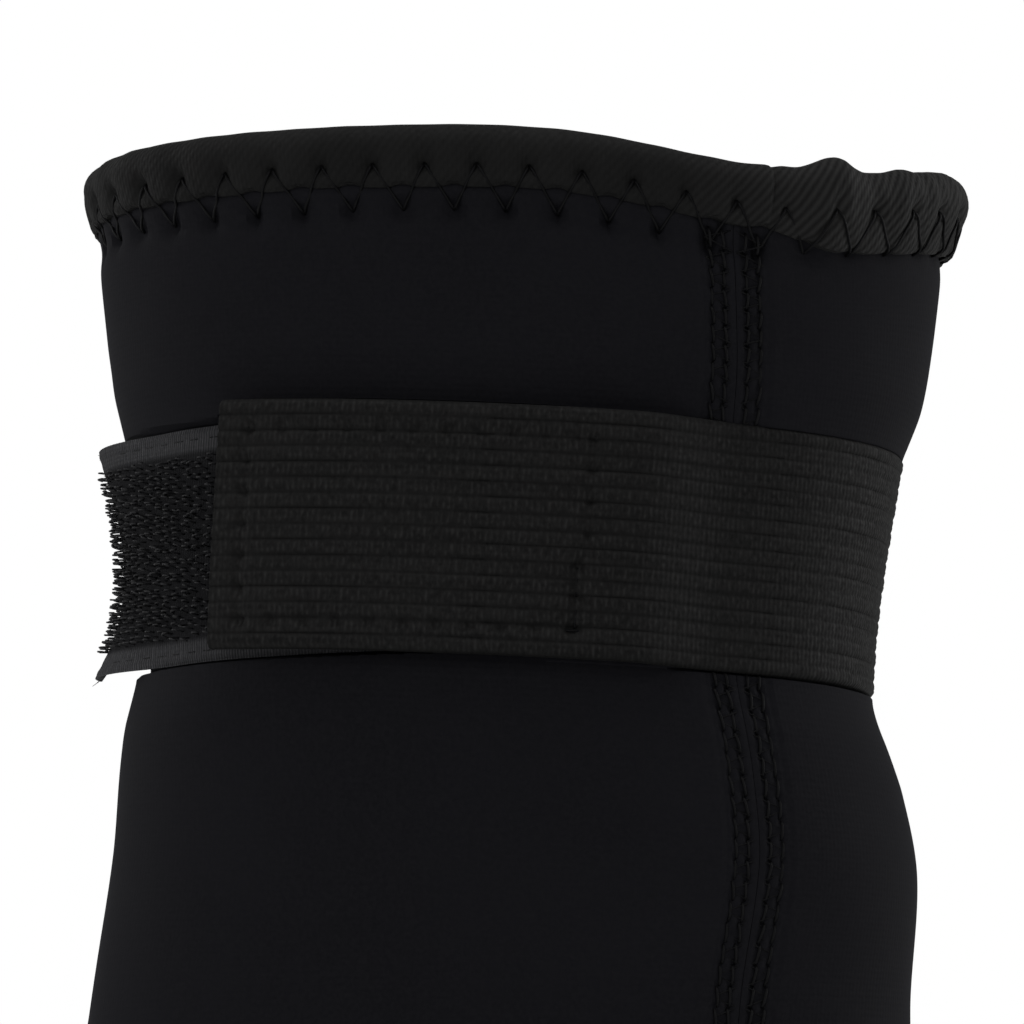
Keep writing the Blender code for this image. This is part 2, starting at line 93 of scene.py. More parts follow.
# ---- sewing ----
BINDING_LEG = 6.2 * MM
THUMB_BINDING_LEG = 4.6 * MM
LEG_STRETCH = 2.0 * MM      # how much more of the forearm tape shows beside its join
ZIGZAG_PITCH = 5.1 * MM
ZIGZAG_SHALLOW = 4.0 * MM
ZIGZAG_DEEP = 8.3 * MM
SEAM_STITCH = 2.1 * MM
SEAM_NEEDLES = (1.15 * MM, 2.45 * MM)   # distance of the needle rows from the seam's line
SEAM_EDGE = 3.3 * MM                    # and of the line where the cover threads end
BOX_STITCH = 3.1 * MM
THUMB_ZIGZAGS = 17
THUMB_SHALLOW, THUMB_DEEP = 3.0 * MM, 6.0 * MM
RIB_COUNT = 16


# ================= surface =================

def smooth_step(value, start, end):
    t = np.clip((np.asarray(value, float) - start) / (end - start), 0.0, 1.0)
    return t * t * (3.0 - 2.0 * t)


def bump(distance, radius):
    """1 at no distance, falling smoothly to 0."""
    return np.exp(-(np.asarray(distance, float) / radius)**2)


def arch(t, power):
    """0 where t is 0 or 1, and 1 half-way; a higher power makes it flatter on top."""
    return 1.0 - np.abs(2.0 * t - 1.0)**power


def between(first, last, t):
    return first * (1 - t) + last * t


def nearest(place, pitch, phase=0.0):
    """Distance from each place to the nearest of marks that are a pitch apart."""
    return np.abs((place / pitch - phase + 0.5) % 1.0 - 0.5) * pitch


def run_length(x, y):
    """Distance along a line of points, from the first to each."""
    return np.concatenate([[0.0], np.cumsum(np.hypot(np.diff(x), np.diff(y)))])


def signed(angle):
    """The same angle, from -180 to 180."""
    return (angle + 180.0) % 360.0 - 180.0


def station_value(stations, height, column):
    """A cubic through the stations' values, read at each height."""
    at, value = stations[:, 0], stations[:, column]
    height = np.clip(height, at[0], at[-1])
    slopes = np.empty(len(at))
    slopes[1:-1] = (value[2:] - value[:-2]) / (at[2:] - at[:-2])
    slopes[0] = (value[1] - value[0]) / (at[1] - at[0])
    slopes[-1] = (value[-1] - value[-2]) / (at[-1] - at[-2])
    i = np.clip(np.searchsorted(at, height, side="right") - 1, 0, len(at) - 2)
    span = at[i + 1] - at[i]
    t = (height - at[i]) / span
    return ((2 * t**3 - 3 * t**2 + 1) * value[i] + (t**3 - 2 * t**2 + t) * span * slopes[i]
            + (3 * t**2 - 2 * t**3) * value[i + 1] + (t**3 - t**2) * span * slopes[i + 1])


def outline(angle, height):
    """X and Y of the nominal outline."""
    left = station_value(SLEEVE_STATIONS, height, 1)
    right = station_value(SLEEVE_STATIONS, height, 2)
    half_depth = station_value(SLEEVE_STATIONS, height, 3)
    half_width = (right - left) / 2
    turn = np.radians(angle)
    radius = (np.abs(np.cos(turn) / half_width)**OVAL_POWER
              + np.abs(np.sin(turn) / half_depth)**OVAL_POWER)**(-1 / OVAL_POWER)
    return (left + right) / 2 + radius * np.cos(turn), radius * np.sin(turn)


def surface(angle, height, offset=0.0):
    """Points off the sleeve's surface, as an array whose last axis is X, Y, Z."""
    angle, height, offset = np.broadcast_arrays(angle, height, offset)
    x, y = outline(angle, height)
    x1, y1 = outline(angle + 0.5, height)
    x0, y0 = outline(angle - 0.5, height)
    length = np.hypot(x1 - x0, y1 - y0)
    x = x + offset * (y1 - y0) / length
    y = y - offset * (x1 - x0) / length
    lean = smooth_step(height, 50 * MM, 80 * MM) - smooth_step(height, 114 * MM, 128 * MM)
    away = signed(angle - RIM_SAG_ANGLE)
    sag = RIM_SAG * bump(away, RIM_SAG_SPREAD) * smooth_step(height, 112 * MM, 130 * MM)
    return np.stack([x, y, height - STRAP_TILT * x * lean - sag], axis=-1)


def outward(angle, height):
    """Unit normals of the outline, level with the ground."""
    return (surface(angle, height, 1 * MM) - surface(angle, height, 0.0)) / MM * [1, 1, 0]


def arc_table(start, end, height, samples=720):
    """Angles from start to end at one height, and the distance round to each."""
    angles = np.linspace(start, end, samples)
    return angles, run_length(*outline(angles, height))


def angle_beyond(angle, height, distance, steps=12):
    """The angles reached by going signed distances round the sleeve."""
    angle, height, distance = np.broadcast_arrays(angle, height, distance)
    angle = np.array(angle, float)
    for _ in range(steps):
        x1, y1 = outline(angle + 0.5, height)
        x0, y0 = outline(angle - 0.5, height)
        angle += distance / steps / np.hypot(x1 - x0, y1 - y0)
    return angle


def seam_angle(height):
    return station_value(SEAM_STATIONS, height, 1)


def tape_lift(angle):
    """How far the tape, which is sewn on a little askew, lies above its nominal height."""
    x, _ = outline(angle, TAPE_CENTRE)
    return np.clip(TAPE_SKEW * (x - TAPE_SKEW_X), TAPE_SKEW_LOW, TAPE_SKEW_HIGH)


def squeeze(angle, height):
    """How deep the strap and the hook tape press the foam in, and the swell beside them.

    The groove's low edge follows the tape where it lies, and the strap elsewhere; its high edge
    follows the strap, and the tape past the strap's free end. Beside the tape's hidden end the
    foam fills the hollow that the strap bridges. Nothing presses on it between the tape's free end
    and the strap's anchored end.
    """
    angle = (np.asarray(angle, float) + 270.0) % 360.0 - 270.0
    on_tape = smooth_step(angle, TAPE_FREE_ANGLE - 4.0, TAPE_FREE_ANGLE) * (
        1.0 - smooth_step(angle, TAPE_HIDDEN_ANGLE, TAPE_HIDDEN_ANGLE + 1.2))
    flush = smooth_step(angle, RAMP_END_ANGLE, RAMP_START_ANGLE)
    low = GROOVE_LOW + 0.35 * MM * (1.0 - on_tape) + 0.25 * MM * flush
    low = low + tape_lift(angle) * on_tape
    bare = 1.0 - smooth_step(angle, STRAP_END_ANGLE - 2.0, STRAP_END_ANGLE + 3.0)
    high = GROOVE_HIGH - 1.65 * MM * bare * smooth_step(angle, *TAPE_HIGH_FROM) - 0.5 * MM * flush
    high = high + tape_lift(angle) * on_tape * bare
    rise = smooth_step(height, low - GROOVE_SHOULDER, low)
    fall = smooth_step(height, high, high + GROOVE_SHOULDER)
    outside = np.maximum(low - height, height - high)
    roll = 0.22 * MM * bump(outside, 1.7 * MM) * (outside > 0) + 0.12 * MM * bump(outside, 5 * MM)
    bulge = bump(outside - 5.0 * MM, 2.2 * MM)
    pressed = smooth_step(angle, *PRESSED_FROM) + 1.0 - smooth_step(angle, *PRESSED_TO)
    past_tape = smooth_step(angle, TAPE_HIDDEN_ANGLE - 0.2, TAPE_HIDDEN_ANGLE + 1.2)
    under_strap = np.clip(0.3 * MM - strap_rise(angle), 0.0, GROOVE_DEPTH)
    depth = GROOVE_DEPTH + (under_strap - GROOVE_DEPTH) * past_tape
    return (np.maximum(depth * (rise - fall), roll) - 0.15 * MM * bulge) * pressed


def unevenness(u, v, size):
    """A gentle, repeatable wander between about -1 and 1."""
    return (np.sin(u / size * 2.1 + 1.3 * np.sin(v / size)) * np.sin(v / size * 1.7 + 0.6)
            + 0.6 * np.sin(u / size * 4.3 + 2.0) * np.sin(v / size * 3.9 + u / size)) / 1.6


# ================= meshes =================

def make_piece(name, vertices, faces, material, uv=None, sharp=35.0):
    """A smooth-shaded object from arrays; uv has one pair for each vertex, in metres."""
    mesh = bpy.data.meshes.new(name)
    mesh.from_pydata(np.asarray(vertices).reshape(-1, 3).tolist(), [], faces)
    work = bmesh.new()
    work.from_mesh(mesh)
    bmesh.ops.recalc_face_normals(work, faces=work.faces)
    work.to_mesh(mesh)
    work.free()
    mesh.shade_smooth()
    if sharp:
        mesh.set_sharp_from_angle(angle=math.radians(sharp))
    if uv is not None:
        layer = mesh.uv_layers.new(name="cloth")
        corners = np.empty(len(mesh.loops), int)
        mesh.loops.foreach_get("vertex_index", corners)
        layer.data.foreach_set("uv", np.asarray(uv, float).reshape(-1, 2)[corners].ravel())
    mesh.materials.append(material)
    item = bpy.data.objects.new(name, mesh)
    bpy.context.scene.collection.objects.link(item)
    return item


def grid_quads(rows, columns, first=0, closed=False):
    """Corner numbers of a grid's quads; closed joins its last column to its first."""
    steps = columns if closed else columns - 1
    r, c = np.meshgrid(np.arange(rows - 1) * columns, np.arange(steps), indexing="ij")
    following = (c + 1) % columns
    quads = np.stack([r + c, r + following, r + columns + following, r + columns + c], axis=-1)
    return (quads.reshape(-1, 4) + first).tolist()


def shell_piece(name, outer, inner, uv, row_step, column_step, material):
    """A closed sheet whose inner face is coarser: it uses every n-th row and column."""
    fine = np.arange(outer[..., 0].size).reshape(outer.shape[:2])
    coarse = fine.size + np.arange(inner[..., 0].size).reshape(inner.shape[:2])
    faces = grid_quads(*fine.shape) + grid_quads(*coarse.shape, fine.size)
    for edge, inner_edge, step in (
            (fine[0], coarse[0], column_step), (fine[-1], coarse[-1], column_step),
            (fine[:, 0], coarse[:, 0], row_step), (fine[:, -1], coarse[:, -1], row_step)):
        for i in range(len(inner_edge) - 1):
            outside = edge[i * step:(i + 1) * step + 1].tolist()
            faces.append(outside + inner_edge[[i + 1, i]].tolist())
    vertices = np.concatenate([outer.reshape(-1, 3), inner.reshape(-1, 3)])
    uvs = np.concatenate([uv.reshape(-1, 2), uv[::row_step, ::column_step].reshape(-1, 2)])
    return make_piece(name, vertices, faces, material, uvs)


def strip_piece(name, outer, inner, uv, material, sharp):
    """A closed strip between two grids of the same size."""
    grid = np.arange(outer[..., 0].size).reshape(outer.shape[:2])
    faces = grid_quads(*grid.shape) + grid_quads(*grid.shape, grid.size)
    ring = np.concatenate([grid[0], grid[1:, -1], grid[-1, -2::-1], grid[-2:0:-1, 0]])
    following = np.roll(ring, -1)
    faces += np.stack([ring, following, grid.size + following, grid.size + ring], axis=-1).tolist()
    vertices = np.concatenate([outer.reshape(-1, 3), inner.reshape(-1, 3)])
    uvs = np.concatenate([uv.reshape(-1, 2)] * 2)
    return make_piece(name, vertices, faces, material, uvs, sharp)


def ring_piece(name, sections, uv, material):
    """A closed ring; sections has a row for each place round it and a column for each
    point of the section."""
    count, size = sections.shape[:2]
    faces = grid_quads(count, size, closed=True)
    last = (count - 1) * size
    faces += [(last + j, last + (j + 1) % size, (j + 1) % size, j) for j in range(size)]
    return make_piece(name, sections, faces, material, uv)


def tube_arrays(paths, outs, radii, sides):
    """Vertices and faces of many tubes. paths and outs are (tubes, points, 3)."""
    paths, outs = np.broadcast_arrays(paths, outs)
    tubes, points = paths.shape[:2]
    radii = np.broadcast_to(radii, (tubes, points))[..., None, None]
    along = np.gradient(paths, axis=1)
    along = along / np.linalg.norm(along, axis=-1, keepdims=True)
    side = np.cross(along, outs)
    side = side / np.linalg.norm(side, axis=-1, keepdims=True)
    up = np.cross(side, along)
    turn = (np.arange(sides) * 2 * np.pi / sides)[:, None]
    ring = np.cos(turn) * side[..., None, :] + np.sin(turn) * up[..., None, :]
    vertices = (paths[..., None, :] + radii * ring).reshape(-1, 3)
    faces = []
    for first in range(0, len(vertices), points * sides):
        last = first + (points - 1) * sides
        faces += grid_quads(points, sides, first, closed=True)
        faces += [list(range(end, end + sides)) for end in (first, last)]
    return vertices, faces


def tubes_piece(name, groups, material):
    """One object of many tubes; each group is (paths, outs, radii, sides)."""
    vertices, faces = np.zeros((0, 3)), []
    for group in groups:
        more, more_faces = tube_arrays(*group)
        faces += [[i + len(vertices) for i in face] for face in more_faces]
        vertices = np.concatenate([vertices, more])
    return make_piece(name, vertices, faces, material, sharp=None)


STITCH = np.linspace(0.0, 1.0, 9)       # shares of a stitch's length, from hole to hole


# ================= materials =================

DUST = (0.16, 0.15, 0.15)
PALE, WHITE = (0.82, 0.82, 0.82), (1.0, 1.0, 1.0)
WARM_SHEEN = (0.012, 0.35, (1.0, 0.98, 0.96))


class Nodes:
    """A short way to write a material's node tree."""

    def __init__(self, name, colour, roughness, specular):
        self.material = bpy.data.materials.new(name)
        self.material.use_nodes = True
        self.tree = self.material.node_tree
        self.shader = self.tree.nodes["Principled BSDF"]
        self.fill(self.shader, {"Base Color": (*colour, 1.0), "Roughness": roughness,
                                "Specular IOR Level": specular})

    def fill(self, node, inputs):
        """Links or sets a node's inputs."""
        for key, value in inputs.items():
            if isinstance(value, bpy.types.NodeSocket):
                self.tree.links.new(value, node.inputs[key])
            else:
                node.inputs[key].default_value = value

    def add(self, kind, inputs, **settings):
        node = self.tree.nodes.new(kind)
        for key, value in settings.items():
            setattr(node, key, value)
        self.fill(node, inputs)
        return node.outputs

    def math(self, operation, a, b=0.0, c=0.0):
        return self.add("ShaderNodeMath", {0: a, 1: b, 2: c}, operation=operation)[0]

    def remap(self, value, to_low=0.0, to_high=1.0, low=0.3, high=0.7):
        return self.add("ShaderNodeMapRange", {"Value": value, "From Min": low, "From Max": high,
                                               "To Min": to_low, "To Max": to_high})["Result"]

    def mix(self, factor, first, second):
        colours = (c if isinstance(c, bpy.types.NodeSocket) else (*c, 1.0) for c in (first, second))
        return self.add("ShaderNodeMix", dict(zip((0, 6, 7), (factor, *colours))),
                        data_type="RGBA")[2]

    def cloth(self):
        """The cloth's own coordinates, in metres: along it, and across it."""
        split = self.add("ShaderNodeSeparateXYZ", {0: self.cloth_map()})
        return split[0], split[1]

    def cloth_map(self):
        return self.add("ShaderNodeUVMap", {}, uv_map="cloth")[0]

    def place(self):
        return self.add("ShaderNodeTexCoord", {})["Object"]

    def noise(self, scale, detail=2.0, roughness=0.5):
        return self.add("ShaderNodeTexNoise", {"Vector": self.place(), "Scale": scale,
                                               "Detail": detail, "Roughness": roughness})[0]

    def cloth_noise(self, along_scale, across_scale, detail):
        """Noise drawn out along or across the cloth."""
        vector = self.add("ShaderNodeMapping", {"Vector": self.cloth_map(),
                                                "Scale": (along_scale, across_scale, 1.0)})[0]
        return self.add("ShaderNodeTexNoise", {"Vector": vector, "Scale": 1.0,
                                               "Detail": detail})[0]

    def waves(self, coordinate, pitch):
        """0 to 1 and back once in every pitch."""
        turned = self.math("MULTIPLY", coordinate, 2 * math.pi / pitch)
        return self.math("MULTIPLY_ADD", self.math("SINE", turned), 0.5, 0.5)

    def bumps(self, *layers):
        """Bump layers, each (height, distance in metres, strength)."""
        below = {}
        for height, distance, strength in layers:
            below["Normal"] = self.add("ShaderNodeBump", {
                "Height": height, "Distance": distance, "Strength": strength, **below})[0]
        self.fill(self.shader, below)

    def colour(self, socket):
        self.fill(self.shader, {"Base Color": socket})

    def roughness(self, socket):
        self.fill(self.shader, {"Roughness": socket})

    def sheen(self, weight, roughness, tint):
        self.fill(self.shader, {"Sheen Weight": weight, "Sheen Roughness": roughness,
                                "Sheen Tint": (*tint, 1.0)})

    def lint(self, base, amount):
        """A few specks of pale dust caught in the cloth."""
        spots = self.add("ShaderNodeTexVoronoi", {"Vector": self.place(), "Scale": 95.0},
                         feature="F1")
        dice = self.add("ShaderNodeSeparateColor", {0: spots["Color"]})[0]
        picked = self.math("GREATER_THAN", dice, 1.0 - amount)
        near = self.math("LESS_THAN", spots["Distance"], 0.018)
        return self.mix(self.math("MULTIPLY", picked, near), base, DUST)


def jersey_material():
    """Bluish-black nylon jersey on neoprene: fine courses of knitting and a little dust."""
    n = Nodes("jersey", (0.0058, 0.0058, 0.0074), 0.78, 0.06)
    n.sheen(0.012, 0.35, (0.85, 0.85, 1.0))
    along, across = n.cloth()
    courses = n.waves(across, 0.00062)
    wales = n.waves(along, 0.00048)
    grain = n.noise(2600.0, 3.0)
    patches = n.noise(55.0, 3.0)
    base = n.mix(n.remap(patches), (0.0046, 0.0046, 0.0060), (0.0070, 0.0070, 0.0088))
    base = n.mix(n.remap(grain, 0.0, 0.5, 0.35, 0.7), base, (0.0098, 0.0096, 0.0114))
    n.colour(n.lint(base, 0.035))
    n.roughness(n.remap(patches, 0.70, 0.86, 0.2, 0.8))
    n.bumps((courses, 0.00004, 0.30), (wales, 0.00003, 0.25), (grain, 0.00005, 0.5))
    return n.material


def binding_material():
    """Neutral black folded knit tape, with slanting ribs that show where it is stretched."""
    n = Nodes("binding", (0.0100, 0.0100, 0.0100), 0.72, 0.08)
    n.sheen(*WARM_SHEEN)
    along, across = n.cloth()
    slanted = n.math("MULTIPLY_ADD", across, -0.8, along)
    ribs = n.waves(slanted, 0.0009)
    fine = n.waves(along, 0.00042)
    grain = n.noise(2300.0, 3.0)
    patches = n.noise(70.0, 3.0)
    base = n.mix(n.remap(patches), (0.0058, 0.0058, 0.0058), (0.0094, 0.0093, 0.0092))
    side = n.add("ShaderNodeSeparateXYZ", {0: n.place()})[0]
    stretched = n.remap(side, 0.10, 0.90, 0.016, 0.034)
    base = n.mix(n.math("MULTIPLY", ribs, stretched), base, (0.0235, 0.0233, 0.0230))
    n.colour(n.lint(base, 0.03))
    n.roughness(n.remap(grain, 0.62, 0.82))
    n.bumps((ribs, 0.00007, 0.35), (fine, 0.00005, 0.4), (grain, 0.00005, 0.5))
    return n.material


def elastic_material():
    """Ribbed elastic: short weft floats across each rib, and painted shade in the grooves between
    the ribs.
    """
    n = Nodes("elastic", (0.0080, 0.0080, 0.0080), 0.66, 0.09)
    n.sheen(*WARM_SHEEN)
    along, across = n.cloth()
    weft = n.waves(along, 0.00052)
    turned = n.math("MULTIPLY", across, math.pi * RIB_COUNT / STRAP_WIDTH)
    rib = n.math("ABSOLUTE", n.math("SINE", turned))
    cord = n.waves(across, STRAP_WIDTH / RIB_COUNT / 2)
    grain = n.noise(2100.0, 3.0)
    streaks = n.cloth_noise(60.0, 1400.0, 3.0)
    base = n.mix(n.remap(streaks), (0.0050, 0.0050, 0.0050), (0.0094, 0.0093, 0.0091))
    ticks = n.cloth_noise(2300.0, 1300.0, 1.0)
    crown = n.remap(rib, 0.0, 1.0, 0.15, 0.75)
    floats = n.math("MULTIPLY", n.math("MULTIPLY", weft, crown),
                    n.remap(ticks, 0.0, 1.3, 0.42, 0.72))
    base = n.mix(floats, base, (0.0158, 0.0156, 0.0154))
    base = n.mix(n.remap(ticks, 0.55, 0.0, 0.28, 0.45), base, (0.0030, 0.0030, 0.0030))
    # painted shade: the grooves between the ribs are painted darker, broken up by the streaks
    groove = n.math("MULTIPLY", n.remap(rib, 0.62, 0.0, 0.0, 0.42),
                    n.remap(streaks, 0.15, 1.0, 0.36, 0.6))
    base = n.mix(groove, base, (0.0020, 0.0020, 0.0020))
    n.colour(n.lint(base, 0.05))
    n.roughness(n.remap(grain, 0.55, 0.80))
    n.bumps((weft, 0.00006, 0.35), (cord, 0.00005, 0.3), (grain, 0.00006, 0.5))
    return n.material


def tape_material():
    """The hook tape's woven backing: greyer, with fine cross ribs on its selvages, and painted
    darker under the hooks as painted shade.
    """
    n = Nodes("hook_tape", (0.022, 0.022, 0.024), 0.50, 0.07)
    n.sheen(0.004, 0.30, (0.95, 0.97, 1.0))
    along, across = n.cloth()
    ribs = n.waves(along, 0.00034)
    warp = n.waves(across, 0.00040)
    grain = n.noise(1800.0)
    base = n.mix(ribs, (0.016, 0.016, 0.017), (0.040, 0.040, 0.044))
    base = n.mix(n.remap(grain, 0.0, 0.5), base, (0.022, 0.022, 0.024))
    # painted shade: the backing in the hook field is painted darker, for the shade under the hooks
    field = n.remap(n.math("ABSOLUTE", across), 1.0, 0.0, HOOK_WIDTH / 2 - 0.3 * MM,
                    HOOK_WIDTH / 2 + 0.2 * MM)
    n.colour(n.mix(field, base, (0.0120, 0.0120, 0.0132)))
    n.roughness(n.mix(field, n.remap(grain, 0.42, 0.62), (0.9, 0.9, 0.9)))
    n.bumps((ribs, 0.00010, 0.6), (warp, 0.00005, 0.4), (grain, 0.00004, 0.4))
    return n.material


def grained_material(name, start, scale, shades, roughness, relief):
    """A smooth material that varies only with a fine grain; start is what Nodes starts from."""
    n = Nodes(name, *start)
    grain = n.noise(scale)
    n.colour(n.mix(n.remap(grain), *shades))
    n.roughness(n.remap(grain, *roughness))
    n.bumps((grain, *relief))
    return n.material


def loop_material():
    """Brushed loop pile: soft, matt and mottled."""
    n = Nodes("loop", (0.009, 0.009, 0.0095), 0.92, 0.15)
    n.sheen(0.25, 0.5, WHITE)
    pile = n.noise(1500.0, 5.0, 0.7)
    tufts = n.noise(420.0, 3.0)
    n.colour(n.mix(n.remap(tufts), (0.0055, 0.0055, 0.0058), (0.0140, 0.0139, 0.0142)))
    n.roughness(n.remap(tufts, 0.85, 0.98))
    n.bumps((pile, 0.00025, 0.9), (tufts, 0.0003, 0.5))
    return n.material


def floor_material():
    """Pale paper, which glows a little for the camera so that it stays pale far away."""
    n = Nodes("studio_floor", PALE, 0.9, 0.1)
    n.colour(n.mix(n.noise(8.0), PALE, (0.80, 0.80, 0.80)))
    seen = n.add("ShaderNodeLightPath", {})["Is Camera Ray"]
    n.fill(n.shader, {"Emission Color": (*WHITE, 1.0),
                      "Emission Strength": n.math("MULTIPLY", seen, 0.5)})
    return n.material


JERSEY = jersey_material()
BINDING = binding_material()
ELASTIC = elastic_material()
TAPE = tape_material()
# nylon monofilament, slightly glossy
HOOKS = grained_material("hooks", ((0.010, 0.010, 0.011), 0.46, 0.24), 900.0,
                         ((0.0080, 0.0080, 0.0088), (0.0165, 0.0165, 0.0180)),
                         (0.40, 0.62), (0.00003, 0.3))
LOOP = loop_material()
# polyester thread, dark and dull
THREAD = grained_material("thread", ((0.003, 0.003, 0.0035), 0.55, 0.09), 1500.0,
                          ((0.0016, 0.0016, 0.0019), (0.0050, 0.0050, 0.0056)),
                          (0.44, 0.66), (0.00004, 0.6))


def settle(piece, body, slot, *nodes):
    """A finished piece rides on its body and stands for its CAD nodes."""
    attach(piece, body)
    if nodes:
        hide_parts(*nodes)


# ================= sleeve cloth =================

PANEL_ROWS = 391
PANEL_ROW_STEP = 6
PANEL_COLUMN_STEP = 4
PANEL_EDGE = 1.6 * MM       # between a panel's cut edge and the rim
THUMB_CUT = 1.6 * MM        # how far outside the opening's edge a panel is cut
RIM_REACH = 14 * MM         # how far from a rim its zigzag still pulls the cloth in
SEAM_MARGIN = 4.6 * MM      # the panels' columns keep their distance from a seam up to here
NEAR_SEAM = np.concatenate([[0.03, 0.25], np.arange(0.5, 4.6, 0.25)]) * MM
ZIGZAG_PHASE = 0.64
ZIGZAG_LEAN = 0.56      # where a lower needle point falls between two upper ones


class Rim:
    """An end of the sleeve; inward is the way from the rim into the sleeve, up or down."""

    def __init__(self, name, height, inward, joined):
        self.name, self.height, self.inward, self.joined = name, height, inward, joined
        self.length = arc_table(-360.0, 0.0, height)[1][-1]
        self.zigzags = round(self.length / ZIGZAG_PITCH)
        self.pitch = self.length / self.zigzags
        self.angles, self.arcs = arc_table(-360.0, 0.0, height, 1440)

    def arc(self, angle):
        """Distance round the rim to an angle, counted from -360 degrees."""
        angles, arcs = arc_table(-361.0, 361.0, self.height, 2880)
        return np.interp(angle, angles, arcs) - np.interp(-360.0, angles, arcs)

    def leg(self, angle):
        """How far the binding reaches in; it is stretched where its ends are joined."""
        return leg_length(angle) if self.joined else np.full(np.shape(angle), BINDING_LEG)


def leg_length(angle):
    """The tape is stretched wider where its ends are joined, near the right front."""
    angle = signed(angle)
    wide = smooth_step(angle, -47.5, -33.0) * (1.0 - smooth_step(angle, 5.0, 40.0))
    return BINDING_LEG + LEG_STRETCH * wide


def leg_distance(arcs, pitch, depth):
    """Distance from each place to the zigzag's nearest leg."""
    run = (depth - ZIGZAG_SHALLOW) / (ZIGZAG_DEEP - ZIGZAG_SHALLOW)
    down = nearest(arcs, pitch, ZIGZAG_PHASE + ZIGZAG_LEAN * run)
    up = nearest(arcs, pitch, ZIGZAG_PHASE + 1.0 - (1.0 - ZIGZAG_LEAN) * run)
    past = np.maximum(0.0, np.maximum(ZIGZAG_SHALLOW - depth, depth - ZIGZAG_DEEP))
    return np.hypot(0.85 * np.minimum(down, up), past)


FOREARM_RIM = Rim("forearm", SLEEVE_LENGTH, -1.0, True)
HAND_RIM = Rim("hand", 0.0, 1.0, False)


def seam_dips(distance, height):
    """How far a flatlock seam pulls the cloth in, at a distance from the seam's line."""
    dips = 0.12 * MM * bump(distance, 0.30 * MM) + 0.14 * MM * bump(distance, 2.6 * MM)
    along = nearest(height, SEAM_STITCH)
    for needle in SEAM_NEEDLES:
        off = np.abs(np.abs(distance) - needle)
        dips = dips + bump(off, 0.42 * MM) * (0.16 * MM + 0.34 * MM * bump(along, 0.50 * MM))
    crossing = np.hypot(distance - sum(SEAM_NEEDLES) / 2, SEAM_STITCH / 2 - along)
    dips = dips + 0.28 * MM * bump(crossing, 0.45 * MM)
    return dips + 0.16 * MM * bump(distance - SEAM_EDGE, 0.28 * MM)


def cloth_offset(angle, height, seam_distance):
    """The jersey face's offset: squeezed by the strap, the stitches and the bindings."""
    offset = -squeeze(angle, height) - seam_dips(seam_distance, height)
    for rim in (FOREARM_RIM, HAND_RIM):
        depth = rim.inward * (height - rim.height)
        offset = offset - 0.75 * MM * (1 - smooth_step(depth, 4.4 * MM, 6.6 * MM))
        offset = offset - 0.30 * MM * bump(depth - ZIGZAG_DEEP, 1.5 * MM)
        near = depth < RIM_REACH
        arcs, depth = rim.arc(angle[near]), depth[near]
        hole = nearest(arcs, rim.pitch, ZIGZAG_PHASE + ZIGZAG_LEAN)
        reach = np.hypot(hole, (depth - ZIGZAG_DEEP) * 0.55)
        covered = (rim.leg(angle[near]) - BINDING_LEG) / LEG_STRETCH
        offset[near] -= 0.95 * MM * bump(reach, 0.70 * MM) * (1.0 - 0.85 * covered)
        offset[near] -= 0.20 * MM * bump(leg_distance(arcs, rim.pitch, depth), 0.4 * MM)
    x, _ = outline(angle, height)
    return offset + 0.10 * MM * unevenness(x, height, 11 * MM)


def panel_heights():
    """Heights of the panels' rows, closer together where the strap's groove turns."""
    even = np.linspace(PANEL_EDGE, SLEEVE_LENGTH - PANEL_EDGE, 2000)
    turns = (GROOVE_LOW - GROOVE_SHOULDER / 2, GROOVE_HIGH + GROOVE_SHOULDER / 2)
    share = np.cumsum(1.0 + sum(3.0 * bump(even - turn, 1.0 * MM) for turn in turns))
    share = (share - share[0]) / (share[-1] - share[0])
    return np.interp(np.linspace(0.0, 1.0, PANEL_ROWS), share, even)


def panel_piece(name, first_seam, last_seam, middle_columns):
    """A neoprene panel between two seams, as a closed sheet with jersey on both faces."""
    while (2 * len(NEAR_SEAM) + middle_columns - 2 - 1) % PANEL_COLUMN_STEP:
        middle_columns += 1     # so that the coarser inner face has whole steps
    heights = panel_heights()
    middle = np.linspace(0.0, 1.0, middle_columns)[1:-1]
    angles, along = [], []
    for height in heights:
        table, arcs = arc_table(first_seam(height), last_seam(height), height)
        total = arcs[-1]
        wanted = np.concatenate([NEAR_SEAM, SEAM_MARGIN + (total - 2 * SEAM_MARGIN) * middle,
                                 total - NEAR_SEAM[::-1]])
        angles.append(np.interp(wanted, arcs, table))
        along.append(wanted)
    angles, along = np.array(angles), np.array(along)
    total = along[:, -1:] + NEAR_SEAM[0]
    seam_distance = np.minimum(along, total - along)
    rows = np.repeat(heights[:, None], angles.shape[1], axis=1)
    outer = surface(angles, rows, cloth_offset(angles, rows, seam_distance))
    inner = surface(angles, rows, -PANEL_THICKNESS)[::PANEL_ROW_STEP, ::PANEL_COLUMN_STEP]
    uv = np.stack([along, rows], axis=-1)
    return shell_piece(name, outer, inner, uv, PANEL_ROW_STEP, PANEL_COLUMN_STEP, JERSEY)


def thumb_surface(turn, out, offset):
    """Points round the thumb opening: a turn, a distance out from its edge, and an offset."""
    turn, out, offset = np.broadcast_arrays(turn, out, offset)
    across = (THUMB_HALF_WIDTH + out) * np.cos(turn)
    height = THUMB_HEIGHT + (THUMB_HALF_HEIGHT + out) * np.sin(turn)
    return surface(angle_beyond(-180.0, height, across, 24), height, offset)


